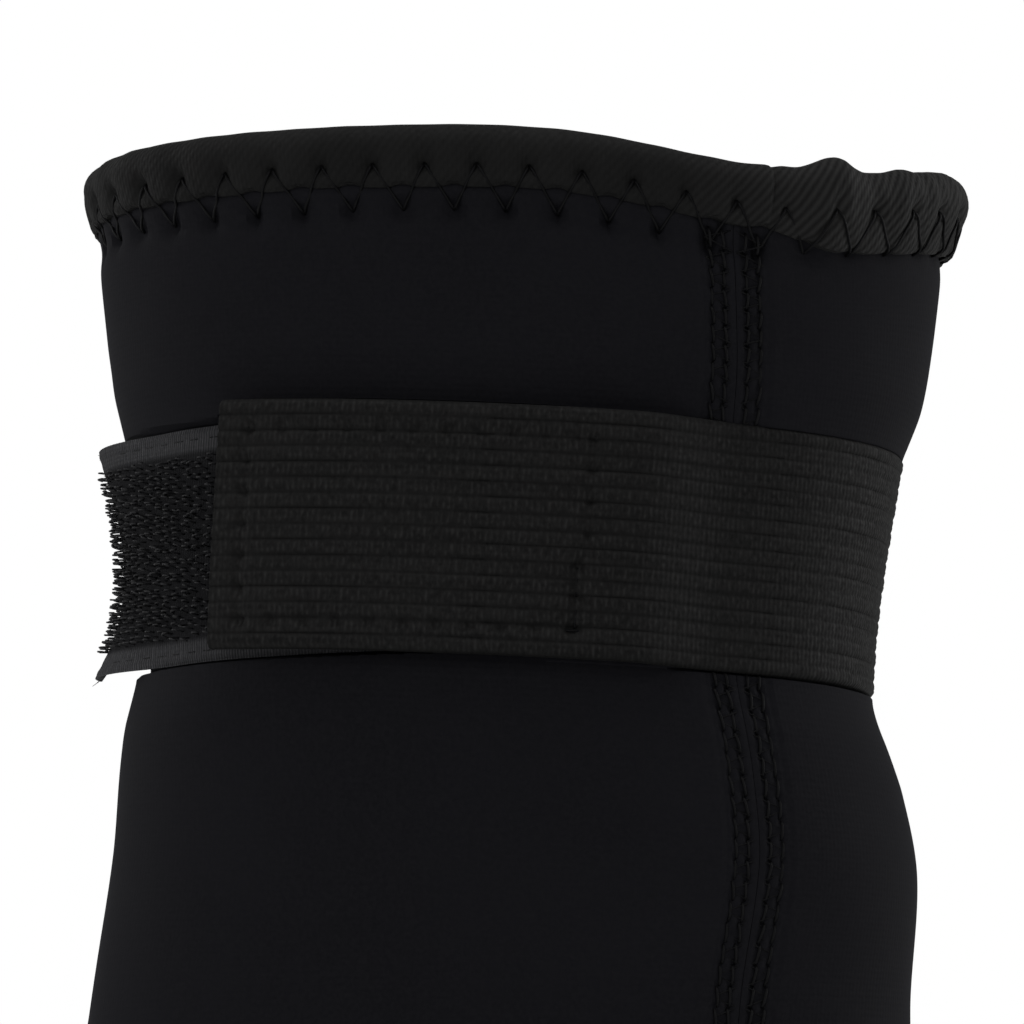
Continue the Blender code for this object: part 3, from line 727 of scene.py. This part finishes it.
def cut_thumb_opening(panel):
    """Cuts the opening through a panel, just inside its binding."""
    sides = 72
    turns = np.arange(sides) * 2 * np.pi / sides
    rings = [thumb_surface(turns, THUMB_CUT, offset) for offset in (-9 * MM, 10 * MM)]
    vertices = np.concatenate(rings + [r.mean(0, keepdims=True) for r in rings])
    edges = [(i, (i + 1) % sides) for i in range(sides)]
    faces = [(i, j, j + sides, i + sides) for i, j in edges]
    faces += [(i, j, 2 * sides) for i, j in edges]
    faces += [(i + sides, j + sides, 2 * sides + 1) for i, j in edges]
    cutter = make_piece("thumb_cutter", vertices, faces, JERSEY)
    cut = panel.modifiers.new("thumb_opening", "BOOLEAN")
    cut.operation, cut.solver, cut.object = "DIFFERENCE", "EXACT", cutter
    bpy.context.view_layer.update()
    graph = bpy.context.evaluated_depsgraph_get()
    mesh = bpy.data.meshes.new_from_object(panel.evaluated_get(graph))
    panel.modifiers.clear()
    panel.data = mesh
    bpy.data.objects.remove(cutter)


def make_sleeve():
    main = panel_piece("sleeve_main_panel", seam_angle, lambda h: -360.0 - seam_angle(h), 150)
    cut_thumb_opening(main)
    settle(main, "sleeve", "jersey", "main_panel")
    side = panel_piece("sleeve_side_panel", seam_angle, lambda h: -seam_angle(h), 56)
    settle(side, "sleeve", "jersey", "side_panel")


# ================= bindings =================

JOIN_ANGLE = -46.0          # where the forearm binding's two ends meet
RIM_COLUMNS, THUMB_COLUMNS = 760, 300


def join_lumps(angle):
    """The folded-under layers beside the join of the forearm binding."""
    lumps = 0.95 * MM * bump(angle + 36.5, 3.0) + 0.30 * MM * bump(angle + 24.0, 2.0)
    lumps = lumps - 0.45 * MM * bump(angle + 41.5, 1.8)
    puckers = 0.10 * MM * np.sin(angle * 1.9) * bump(angle + 20.0, 13.0)
    crease = 0.55 * MM * bump(angle - JOIN_ANGLE, 0.55)
    return lumps + puckers - crease


def join_rise(angle):
    """How far the folded-under layers lift the rim there."""
    return (1.30 * MM * bump(angle + 36.6, 3.4) + 0.30 * MM * bump(angle + 24.0, 1.8)
            + 0.15 * MM * bump(angle + 14.0, 5.0) + 0.30 * MM * bump(angle + 44.0, 5.0)
            - 0.12 * MM * bump(angle + 45.6, 0.9))


def end_flare(angle):
    """The stretched tape stands off the sleeve on the little-finger side."""
    return 0.85 * MM * bump(angle + 4.0, 20.0)


def binding_profile():
    """A folded tape's section, from its outer edge over the rim to its inner edge.

    Each point is a share of the tape's leg and an offset: the tape is fullest below the roll and
    is pulled in at its sewn edge.
    """
    half = (PANEL_THICKNESS + 1.9 * MM) / 2
    centre = -PANEL_THICKNESS / 2 + 0.05 * MM
    legs = np.array((1.0, 0.985, 0.95, 0.88, 0.80, 0.72, 0.64, 0.56, 0.48))
    full = 0.50 * MM * smooth_step(legs, 1.05, 0.45) + 0.30 * MM * smooth_step(legs, 1.0, 0.93)
    turns = np.radians(np.linspace(4.0, 176.0, 17))
    share = np.concatenate([legs, 0.42 * (1.0 - np.sin(turns)), legs[::-1]])
    offset = np.concatenate([centre + half - 0.80 * MM + full, centre + half * np.cos(turns),
                             (centre - half + 0.30 * MM - 0.3 * full)[::-1]])
    return share, offset


def binding_uv(along, leg):
    """The cloth coordinates of a binding: along the tape, and round its section."""
    share, offset = binding_profile()
    return np.stack(np.broadcast_arrays(along, run_length(share * leg, offset)), axis=-1)


def rim_binding_piece(rim):
    """A rim's binding: pulled in by its zigzag, and lumpy where its ends are joined."""
    along = (np.arange(RIM_COLUMNS) * rim.length / RIM_COLUMNS)[:, None]
    angle = np.interp(along, rim.arcs, rim.angles)
    near_angle = signed(angle)
    share, offset = binding_profile()
    depth = share * (rim.leg(near_angle) + 0.12 * MM * unevenness(along, 0.0, 9 * MM))
    outside = np.arange(len(share)) < len(share) / 2
    swell = smooth_step(depth, 8 * MM, 3 * MM) * outside
    lift = 0.12 * MM * unevenness(along, depth, 4 * MM) * outside
    if rim.joined:
        lift = lift + join_lumps(near_angle) * (0.35 + 0.65 * swell) * outside
        lift = lift + end_flare(near_angle) * (0.3 + 0.7 * swell) * outside
    hole = np.hypot(nearest(along, rim.pitch, ZIGZAG_PHASE), depth - ZIGZAG_SHALLOW)
    lift = lift - 0.70 * MM * bump(hole, 0.80 * MM) * outside
    lift = lift - 0.22 * MM * bump(leg_distance(along, rim.pitch, depth), 0.42 * MM) * outside
    lift = lift + 0.16 * MM * bump(nearest(along, rim.pitch, ZIGZAG_PHASE + 0.5), 1.5 * MM) * swell
    lower = nearest(along, rim.pitch, ZIGZAG_PHASE + ZIGZAG_LEAN)
    scallop = 0.35 * MM * bump(lower, 1.0 * MM) * smooth_step(share, 0.9, 1.0) * outside
    height = rim.height + rim.inward * (depth - scallop)
    if rim.joined:
        height = height + join_rise(near_angle) * smooth_step(share, 0.62, 0.25)
    points = surface(angle, height, offset + lift)
    piece = ring_piece(rim.name + "_rim_binding", points, binding_uv(along, BINDING_LEG), BINDING)
    settle(piece, "sleeve", "binding", rim.name + "_binding")


def rim_point(angle, rim, depth):
    """A point on a rim's binding or the jersey beside it, and the way out there."""
    near_angle = signed(angle)
    leg = rim.leg(near_angle)
    on_tape = 1.00 * MM - 0.58 * MM * smooth_step(depth / leg, 0.45, 1.0)
    if rim.joined:
        on_tape = on_tape + join_lumps(near_angle) * 0.8 + end_flare(near_angle) * 0.9
    offset = on_tape + (-0.22 * MM - on_tape) * smooth_step(depth - leg, -0.5 * MM, 0.6 * MM)
    height = rim.height + rim.inward * depth
    return surface(angle, height, offset), outward(angle, height)


def zigzag_piece(name, node, upper, pitch, lean, depths, points_at, samples, rise, sink, radius):
    """Separate legs of thread that dive into needle holes at both ends.

    upper holds the upper holes' places, and points_at(places, depths) gives points and the way
    out there. A leg stands by rise over them, and its ends lie by sink under them.
    """
    lower = upper + lean * pitch
    t = np.linspace(0.0, 1.0, samples)
    dive = arch(t, 5)
    groups = []
    for first, last, ends in ((upper, lower, depths), (lower, upper + pitch, depths[::-1])):
        points, outs = points_at(between(first[:, None], last[:, None], t), between(*ends, t))
        points = points + outs * (rise * dive - sink * (1.0 - dive))[:, None]
        groups.append((points, outs, radius, 6))
    settle(tubes_piece(name, groups, THREAD), "sleeve", "thread", node)


def rim_zigzag_piece(rim):
    """The zigzag that holds a rim's binding."""
    def points_at(places, depth):
        angle = np.interp(places % rim.length, rim.arcs, rim.angles)
        return rim_point(angle, rim, depth)

    upper = (np.arange(rim.zigzags) + ZIGZAG_PHASE) * rim.pitch
    zigzag_piece(rim.name + "_rim_zigzag", rim.name + "_binding_stitching", upper, rim.pitch,
                 ZIGZAG_LEAN, (ZIGZAG_SHALLOW, ZIGZAG_DEEP), points_at, 13,
                 -0.12 * MM, 0.75 * MM, 0.14 * MM)


def thumb_binding_piece():
    """The thumb opening's binding, which goes round the cut edge."""
    turn = (np.arange(THUMB_COLUMNS) * 2 * np.pi / THUMB_COLUMNS)[:, None]
    share, offset = binding_profile()
    along = turn * (THUMB_HALF_WIDTH + THUMB_HALF_HEIGHT) / 2
    depth = share * THUMB_BINDING_LEG
    outside = np.arange(len(share)) < len(share) / 2
    upper = nearest(along, np.pi * (THUMB_HALF_WIDTH + THUMB_HALF_HEIGHT) / THUMB_ZIGZAGS)
    lift = -0.50 * MM * bump(np.hypot(upper, depth - THUMB_SHALLOW), 0.9 * MM) * outside
    lift = lift + 0.10 * MM * unevenness(along, depth, 4 * MM) * outside
    points = thumb_surface(turn, depth, offset + lift)
    uv = binding_uv(along, THUMB_BINDING_LEG)
    settle(ring_piece("thumb_opening_binding", points, uv, BINDING), "sleeve", "binding",
           "thumb_binding")


def thumb_zigzag_piece():
    """The zigzag round the thumb opening."""
    def points_at(turn, depth):
        on_tape = 0.86 * MM - 0.35 * MM * smooth_step(depth / THUMB_BINDING_LEG, 0.45, 1.05)
        offset = np.where(depth < THUMB_BINDING_LEG, on_tape, 0.05 * MM)
        points = thumb_surface(turn, depth, offset)
        return points, (thumb_surface(turn, depth, offset + 1 * MM) - points) / MM

    step = 2 * np.pi / THUMB_ZIGZAGS
    zigzag_piece("thumb_opening_zigzag", "thumb_binding_stitching",
                 np.arange(THUMB_ZIGZAGS) * step, step, 0.5, (THUMB_SHALLOW, THUMB_DEEP),
                 points_at, 11, 0.16 * MM, 0.6 * MM, 0.18 * MM)


def make_bindings():
    for make_rim_piece in (rim_binding_piece, rim_zigzag_piece):
        for rim in (FOREARM_RIM, HAND_RIM):
            make_rim_piece(rim)
    thumb_binding_piece()
    thumb_zigzag_piece()


# ================= flatlock seams =================

def seam_row_piece(name, node, side, sign):
    """One half of a flatlock seam: two needle rows and the cover thread that laces them.

    side is -1 or 1, left or right of the seam's line; sign is 1 for the front, -1 for the back.
    """
    low, high = BINDING_LEG - 1 * MM, SLEEVE_LENGTH - BINDING_LEG + 1 * MM
    rows = int((high - low) / SEAM_STITCH)
    holes = (np.round(low / SEAM_STITCH) * SEAM_STITCH + np.arange(rows + 1) * SEAM_STITCH)[:, None]
    dice = np.random.default_rng(3)

    def tubes(height, distance, offset, radius, sides):
        angle = angle_beyond(sign * seam_angle(height), height, distance, 4)
        points = surface(angle, height, offset - squeeze(angle, height) - 0.14 * MM)
        return points, outward(angle, height), radius, sides

    groups = []
    bulge = arch(STITCH, 4)
    for needle in SEAM_NEEDLES:
        height = between(holes[:-1], holes[1:], STITCH)
        wobble = dice.normal(0.0, 0.05, (rows, 1))
        lean = side * needle + (0.12 + wobble) * MM * (2 * STITCH - 1) * side
        groups.append(tubes(height, lean, -0.48 * MM + (0.44 + wobble) * MM * bulge,
                            0.155 * MM * (0.7 + 0.3 * bulge), 6))
    inner, outer = side * 0.25 * MM, side * (SEAM_NEEDLES[1] + 0.55 * MM)
    for first, last, rise in ((inner, outer, 0.0), (outer, inner, 0.5)):
        height = holes[:-1] + SEAM_STITCH * (rise + 0.5 * STITCH)
        bow = dice.normal(0.08, 0.05, (rows, 1)) * MM
        groups.append(tubes(height, between(first, last, STITCH),
                            -0.18 * MM + bow * np.sin(np.pi * STITCH), 0.075 * MM, 5))
    settle(tubes_piece(name, groups, THREAD), "sleeve", "thread", node)


def make_seams():
    for place, sign in (("front", 1.0), ("back", -1.0)):
        for hand, side in (("left", -1.0), ("right", 1.0)):
            seam_row_piece(f"{place}_seam_stitching_{hand}", f"{place}_seam_{hand}_row", side, sign)


# ================= elastic strap =================

FRONT_ANGLE = -90.0
STRAP_TABLE = np.linspace(-200.0, 130.0, 2400)
PIECE_JOIN_ANGLE = -35.0    # where the strap's two visible pieces meet
STRAP_LEAN = 0.02           # the strap's cut ends stand square to its tilted run
BOX_EDGE = 9.35 * MM        # the box stitch's distance from the strap's middle
BOX_LEFT = 2.9 * MM         # and from its free end
BOX_RIGHT = 7.6 * MM        # the box's right side, from the middle of the front
BOX_KINK = 0.9 * MM         # the sideways step in that side
LOOP_COUNT = 900


def strap_place(angle):
    """Signed distance round the strap from the middle of the front to an angle."""
    arcs = arc_table(FRONT_ANGLE, angle, STRAP_CENTRE)[1]
    return arcs[-1] * np.sign(angle - FRONT_ANGLE)


def band_piece(name, along, across, centre, faces_at, material, sharp=50.0, lift_at=np.zeros_like):
    """A closed band, from lists of distances along it from the front and across it.

    faces_at(angle, along, across) gives the offsets of its two faces, and lift_at(angle) how far
    the band lies above its centre height.
    """
    angles = np.empty((len(along), len(across)))
    for j, up in enumerate(across):
        arcs = run_length(*outline(STRAP_TABLE, centre + up))
        arcs -= np.interp(FRONT_ANGLE, STRAP_TABLE, arcs)
        angles[:, j] = np.interp(along + STRAP_LEAN * up, arcs, STRAP_TABLE)
    middle = angles[:, len(across) // 2, None]
    angles += (middle - angles) * smooth_step(along, 35 * MM, 75 * MM)[:, None]
    run, up = np.meshgrid(along, across, indexing="ij")
    heights = centre + up + lift_at(angles)
    outer, inner = (surface(angles, heights, face) for face in faces_at(angles, run, up))
    return strip_piece(name, outer, inner, np.stack([run, up], axis=-1), material, sharp)


def points_on_band(along, across, centre, steps, offset_at, lift_at=np.zeros_like):
    """Single points on a band, and the way out there; offset_at(angle) gives their offset."""
    heights = centre + across
    angles = angle_beyond(FRONT_ANGLE, heights, along, steps)
    heights = heights + lift_at(angles)
    return surface(angles, heights, offset_at(angles)), outward(angles, heights)


def lockstitch_tubes(runs, points_at, radius):
    """Tubes for sewn lines; a run lists the places of its needle holes, along and across."""
    for run in runs:
        places = between(run[:-1, None], run[1:, None], STITCH[:, None])
        yield *points_at(places[..., 0], places[..., 1], arch(STITCH, 4)), radius, 6


def strap_rise(angle):
    """The strap's inner face: low on the panel, high over the hook tape."""
    climb = smooth_step(angle, RAMP_START_ANGLE, RAMP_END_ANGLE)
    return STRAP_LOW_OFFSET + (STRAP_HIGH_OFFSET - STRAP_LOW_OFFSET) * climb


def rib_relief(along, across):
    """Relief of the ribbed face: round ribs parted by narrow grooves, each rib in two."""
    pitch = STRAP_WIDTH / RIB_COUNT
    wander = 0.06 * MM * np.sin(along / (9 * MM)) + 0.04 * MM * np.sin(along / (3.1 * MM) + 1.0)
    place = (across + wander * smooth_step(STRAP_WIDTH / 2 - np.abs(across), 0.0, 2 * MM)) / pitch
    ribs = np.abs(np.sin(np.pi * place))**0.55
    halves = bump((place % 1.0) - 0.5, 0.09)
    number = np.floor(place)
    uneven = 0.03 * MM * np.sin(number * 2.4 + along / (14 * MM))
    return 0.23 * MM * (ribs - 1.0) - 0.08 * MM * halves + uneven


def stitch_line(distance, along, depth):
    """A line of the box stitch: a soft valley, with a deeper hole at each stitch's end."""
    hole = np.hypot(distance, nearest(along, BOX_STITCH))
    return -depth * bump(distance, 0.60 * MM) - 0.40 * MM * bump(hole, 0.50 * MM)


def box_side(across, right, kink):
    """A box's right side, which steps sideways a little below the middle."""
    return right - kink * smooth_step(across, -1.5 * MM, -3.2 * MM)


def box_relief(along, across, left, right, kink=0.0):
    """The pull of a rectangle of stitching on a strap's face."""
    inside_x = smooth_step(along, left - 0.5 * MM, left) * (
        1.0 - smooth_step(along, right, right + 0.5 * MM))
    inside_y = smooth_step(BOX_EDGE - np.abs(across), -0.5 * MM, 0.0)
    relief = sum(stitch_line(across - edge, along, 0.14 * MM) * inside_x
                 for edge in (-BOX_EDGE, BOX_EDGE))
    relief = relief + sum(stitch_line(along - end, across, 0.20 * MM) * inside_y
                          for end in (left, box_side(across, right, kink)))
    return np.maximum(relief, -0.50 * MM)


def front_relief(along, across):
    """What the strap's front shows beside its ribs: the box stitch, its crease and puckers."""
    left, right = strap_place(STRAP_END_ANGLE) + BOX_LEFT, BOX_RIGHT
    relief = box_relief(along, across, left, right, BOX_KINK)
    low = smooth_step(across, -1.6 * MM, -3.4 * MM) * smooth_step(across, -11.0 * MM, -9.0 * MM)
    relief = relief - 0.24 * MM * bump(along - (BOX_RIGHT - BOX_KINK), 0.90 * MM) * low
    boxed = (1.0 - smooth_step(along, right - 1 * MM, right + 1 * MM))
    puckers = unevenness(along, across * 0.6, 5.5 * MM)
    return relief + boxed * (0.07 * MM * puckers + 0.10 * MM)


def edge_round(across, half_width):
    """The selvages thin out over their last half millimetre."""
    return -0.34 * MM * (1.0 - smooth_step(half_width - np.abs(across), 0.0, 0.7 * MM))


def strap_piece(name, start, end, relief_at, count):
    """A length of elastic with ribs on both faces, between two distances from the front."""
    across = np.linspace(-STRAP_WIDTH / 2, STRAP_WIDTH / 2, RIB_COUNT * 8 + 1)

    def faces(angles, s, t):
        base = strap_rise(angles)
        edge = edge_round(t, STRAP_WIDTH / 2)
        outer = base + STRAP_THICKNESS + rib_relief(s, t) + relief_at(s, t) + edge
        inner = base + 0.12 * MM - 0.5 * rib_relief(s, t) - edge
        return outer, np.minimum(inner, outer - 0.35 * MM)

    return band_piece(name, np.linspace(start, end, count), across, STRAP_CENTRE, faces, ELASTIC)


def strap_points(along, across, offset):
    return points_on_band(along, across, STRAP_CENTRE, 60,
                          lambda angle: strap_rise(angle) + offset)


def box_stitch_piece(name, body, node, left, right, kink=0.0):
    """The threads of a box stitch: one stitch between each pair of needle holes."""
    last = int(right / BOX_STITCH)
    holes = np.arange(math.ceil(left / BOX_STITCH) + 1, last) * BOX_STITCH
    holes = np.concatenate([[left], holes, [right]])
    up_holes = np.arange(-int(BOX_EDGE / BOX_STITCH), int(BOX_EDGE / BOX_STITCH) + 1) * BOX_STITCH
    up_holes = np.concatenate([[-BOX_EDGE], up_holes, [BOX_EDGE]])
    sides = ((holes, -BOX_EDGE), (holes, BOX_EDGE), (left, up_holes),
             (box_side(up_holes, right, kink), up_holes))
    runs = [np.stack(np.broadcast_arrays(*side), axis=-1) for side in sides]

    def points_at(along, across, bulge):
        return strap_points(along + STRAP_LEAN * across, across,
                            STRAP_THICKNESS - 1.00 * MM + 0.42 * MM * bulge)

    piece = tubes_piece(name, lockstitch_tubes(runs, points_at, 0.14 * MM), THREAD)
    settle(piece, body, "thread", node)


def make_strap():
    join, free = strap_place(PIECE_JOIN_ANGLE), strap_place(STRAP_END_ANGLE)
    anchor = strap_place(ANCHOR_END_ANGLE)
    box_left, box_right = anchor - 17 * MM, anchor - 2.5 * MM
    side = strap_piece("strap_side", anchor, join,
                       lambda s, t: box_relief(s, t, box_left, box_right), 330)
    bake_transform(side)
    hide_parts("strap_anchor", "strap_band")
    front = strap_piece("strap_front", join, free, front_relief, 300)
    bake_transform(front)
    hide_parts("strap_end")
    box_stitch_piece("strap_end_box_stitching", "strap_tip", "strap_end_box_stitch",
                     free + BOX_LEFT, BOX_RIGHT, BOX_KINK)
    box_stitch_piece("strap_anchor_box_stitching", "sleeve", "anchor_box_stitch",
                     box_left, box_right)
    make_loop_patch(free)


def make_loop_patch(free):
    """The brushed pile under the strap's free end, with loose loops standing out of it."""
    along = np.linspace(free + 2.0 * MM, strap_place(TIP_HINGE_ANGLE) - 1.0 * MM, 170)
    across = np.linspace(-LOOP_WIDTH / 2, LOOP_WIDTH / 2, 64)
    dice = np.random.default_rng(7)

    def faces(angles, s, t):
        pile = dice.uniform(-0.5, 0.5, s.shape) * 0.16 * MM + 0.10 * MM * unevenness(s, t, 3 * MM)
        edge = bump(LOOP_WIDTH / 2 - np.abs(t), 0.5 * MM)
        low = STRAP_HIGH_OFFSET - LOOP_THICKNESS + pile + 0.35 * MM * edge
        return low, STRAP_HIGH_OFFSET + 0.16 * MM

    patch = band_piece("strap_loop_patch", along, across, STRAP_CENTRE, faces, LOOP, 180.0)
    settle(patch, "strap_tip", "loop", "loop_patch")
    count, reach = (LOOP_COUNT, 1), LOOP_WIDTH / 2 - 0.8 * MM
    place = dice.uniform(along[0] + 1 * MM, along[-1] - 1 * MM, count)
    rise = dice.uniform(-reach, reach, count)
    turn = dice.uniform(0.0, 2 * np.pi, count)
    span = dice.uniform(0.25, 0.55, count) * MM
    t = np.linspace(0.0, 1.0, 7)
    reach = (t - 0.5) * span
    paths, outs = strap_points(place + reach * np.cos(turn), rise + reach * np.sin(turn),
                               0.10 * MM - LOOP_THICKNESS - 0.34 * MM * np.sin(np.pi * t))
    settle(tubes_piece("strap_loop_pile", [(paths, outs, 0.035 * MM, 4)], LOOP), "strap_tip",
           "loop")


# ================= hook tape =================

HOOK_ROW, HOOK_COLUMN = 1.04 * MM, 1.5 * MM
HOOK_ALONG = np.array((0.00, -0.02, -0.03, 0.03, 0.20, 0.40, 0.55, 0.60)) * MM
HOOK_UP = np.array((-0.10, 0.40, 0.78, 1.06, 1.19, 1.12, 0.90, 0.66)) * MM
YARN_COUNT = 60


def tape_rise(angle, across):
    """The tape's inner face; across is a distance. Its free corners curl off the sleeve."""
    share = across / (TAPE_WIDTH / 2)
    curl = smooth_step(angle, TAPE_FLARE_ANGLE, TAPE_FREE_ANGLE)
    return STRAP_LOW_OFFSET + TAPE_FLARE * curl * (0.42 + share * share * (0.60 - 0.16 * share))


def tape_points(along, across, offset):
    """Single points on the tape at distances along and across it, and the way out there."""
    return points_on_band(along, across, TAPE_CENTRE, 80,
                          lambda angle: tape_rise(angle, across) + offset, tape_lift)


def make_hook_tape():
    hidden, free = strap_place(TAPE_HIDDEN_ANGLE), strap_place(TAPE_FREE_ANGLE)
    half, field = TAPE_WIDTH / 2, HOOK_WIDTH / 2
    across = np.concatenate([np.linspace(-half, -field, 12), np.linspace(-field, field, 30)[1:-1],
                             np.linspace(field, half, 12)])

    def faces(angles, s, t):
        base = tape_rise(angles, t)
        selvage = smooth_step(np.abs(t), field - 0.3 * MM, field + 0.3 * MM)
        weave = 0.035 * MM * np.sin(2 * np.pi * s / (0.68 * MM)) * selvage
        sewn = -0.06 * MM * bump(np.abs(t) - (half + field) / 2, 0.35 * MM)
        edge = edge_round(t, half) * 0.5
        return base + TAPE_THICKNESS + weave + sewn + edge, base - 0.3 * edge

    backing = band_piece("hook_tape_backing", np.linspace(free, hidden, 300), across, TAPE_CENTRE,
                         faces, TAPE, lift_at=tape_lift)
    settle(backing, "sleeve", "hook_tape", "hook_tape")
    make_hooks(hidden, free)
    make_tape_stitching(hidden, free)
    make_frayed_end(free)


def make_hooks(hidden, free):
    """Rows of bent monofilament; each leans along the tape, every second column the other way."""
    dice = np.random.default_rng(11)
    columns = np.arange(free + 0.7 * MM, hidden - 2.5 * MM, HOOK_COLUMN / 2)
    rows = np.arange(-HOOK_WIDTH / 2 + 0.5 * MM, HOOK_WIDTH / 2 - 0.3 * MM, HOOK_ROW)
    number, row = np.meshgrid(np.arange(len(columns)), rows, indexing="ij")
    s = columns[number] + dice.normal(0.0, 0.17, number.shape) * MM
    t = row + (number % 2) * HOOK_ROW / 2 + dice.normal(0.0, 0.14, number.shape) * MM
    lean = np.where(number % 2 == 0, 1.0, -1.0) * dice.uniform(0.6, 1.1, number.shape)
    tall = dice.uniform(0.78, 1.08, number.shape)
    tall = tall * (0.62 + 0.38 * smooth_step(s - free, 1.0 * MM, 4.5 * MM))
    s, t, lean, tall = (a.ravel()[:, None] for a in (s, t, lean, tall))
    sway = dice.normal(0.0, 0.20, s.shape) * MM * np.linspace(0.0, 1.0, len(HOOK_UP))
    paths, _ = tape_points(s + lean * HOOK_ALONG * tall, t + sway, TAPE_THICKNESS + HOOK_UP * tall)
    up = np.array((0.0, 0.0, 1.0))
    settle(tubes_piece("hook_field_hooks", [(paths, up, 0.095 * MM, 5)], HOOKS), "sleeve",
           "hooks", "hook_field")


def make_tape_stitching(hidden, free):
    """Lockstitch along both selvages and across the hidden end."""
    row = (TAPE_WIDTH + HOOK_WIDTH) / 4
    holes = np.arange(free + 7 * MM, hidden - 1.5 * MM, BOX_STITCH * 0.8)
    lines = ((holes, -row), (holes, row), (holes[-1], np.linspace(-row, row, 9)))
    runs = [np.stack(np.broadcast_arrays(*line), axis=-1) for line in lines]

    def points_at(along, across, bulge):
        return tape_points(along, across, TAPE_THICKNESS - 0.38 * MM + 0.27 * MM * bulge)

    piece = tubes_piece("hook_tape_lockstitch", lockstitch_tubes(runs, points_at, 0.09 * MM),
                        THREAD)
    settle(piece, "sleeve", "thread", "hook_tape_stitching")


def make_frayed_end(free):
    """Cut yarns that stand out of the tape's free end."""
    dice = np.random.default_rng(5)
    count = (YARN_COUNT, 1)
    across = dice.uniform(-1.0, 1.0, count) * (TAPE_WIDTH / 2 - 0.2 * MM)
    length = dice.uniform(0.2, 0.9, count) * MM
    t = np.linspace(0.0, 1.0, 6)
    along = free + 0.4 * MM - (length + 0.4 * MM) * t
    wander = dice.normal(0.0, 0.35, count) * MM * t**2
    up = dice.normal(0.1, 0.35, count) * MM * t**2
    paths, outs = tape_points(along, across + wander, TAPE_THICKNESS * 0.5 + up)
    groups = [(paths, outs, 0.06 * MM * (1.0 - 0.6 * t), 5)]
    settle(tubes_piece("hook_tape_frayed_yarns", groups, TAPE), "sleeve", "hook_tape")


# ================= stage =================

ROOM_LIGHT = 0.20
LIGHT_TARGET = (0.0, 0.0, 0.095)
LIGHTS = (      # name, place, size and power
    ("side_left", (-0.68, 0.18, 0.28), (0.5, 0.7), 1.9),
    ("side_right", (0.68, 0.14, 0.26), (0.5, 0.7), 2.5),
    ("overhead", (0.0, -0.15, 0.85), (0.7, 0.5), 2.8),
    ("front_fill", (-0.25, -0.80, 0.35), (0.6, 0.5), 2.0),
)
FLOOR_SIZE, FLOOR_HEIGHT = 6.0, -0.0002
CAMERA_LENS, CAMERA_SENSOR = 198.0, 36.0
CAMERA_PLACE = (0.4 * MM, -560 * MM, 30 * MM)
CAMERA_TARGET = (0.4 * MM, 0.0, 102.9 * MM)


def aim(item, place, target):
    """Puts a light or camera in the scene, turned towards a target."""
    item.location = place
    item.rotation_euler = (Vector(target) - Vector(place)).to_track_quat("-Z", "Y").to_euler()
    bpy.context.scene.collection.objects.link(item)


def soft_light(name, place, size, power):
    data = bpy.data.lights.new(name, "AREA")
    data.shape = "RECTANGLE"
    data.size, data.size_y = size
    data.energy = power
    aim(bpy.data.objects.new(name, data), place, LIGHT_TARGET)


def make_stage():
    """A pale floor, a white room that lights the object softly, and four area lights."""
    bpy.ops.mesh.primitive_plane_add(size=FLOOR_SIZE, location=(0.0, 0.0, FLOOR_HEIGHT))
    floor = bpy.context.object
    floor.name = "studio_floor"
    floor.data.materials.append(floor_material())
    world = bpy.data.worlds.new("studio")
    world.use_nodes = True
    tree = world.node_tree
    room = tree.nodes["Background"]
    room.inputs["Color"].default_value = (*WHITE, 1.0)
    seen = tree.nodes.new("ShaderNodeLightPath")
    strength = tree.nodes.new("ShaderNodeMapRange")
    strength.inputs["To Min"].default_value = ROOM_LIGHT
    strength.inputs["To Max"].default_value = 1.0
    tree.links.new(seen.outputs["Is Camera Ray"], strength.inputs["Value"])
    tree.links.new(strength.outputs["Result"], room.inputs["Strength"])
    bpy.context.scene.world = world
    for light in LIGHTS:
        soft_light(*light)


def make_camera():
    data = bpy.data.cameras.new("camera")
    data.lens, data.sensor_width = CAMERA_LENS, CAMERA_SENSOR
    data.clip_start = 0.01
    camera = bpy.data.objects.new("camera", data)
    aim(camera, CAMERA_PLACE, CAMERA_TARGET)
    bpy.context.scene.camera = camera
    bpy.context.scene.view_settings.view_transform = "Standard"


make_sleeve()
make_bindings()
make_seams()
make_strap()
make_hook_tape()
make_stage()
make_camera()
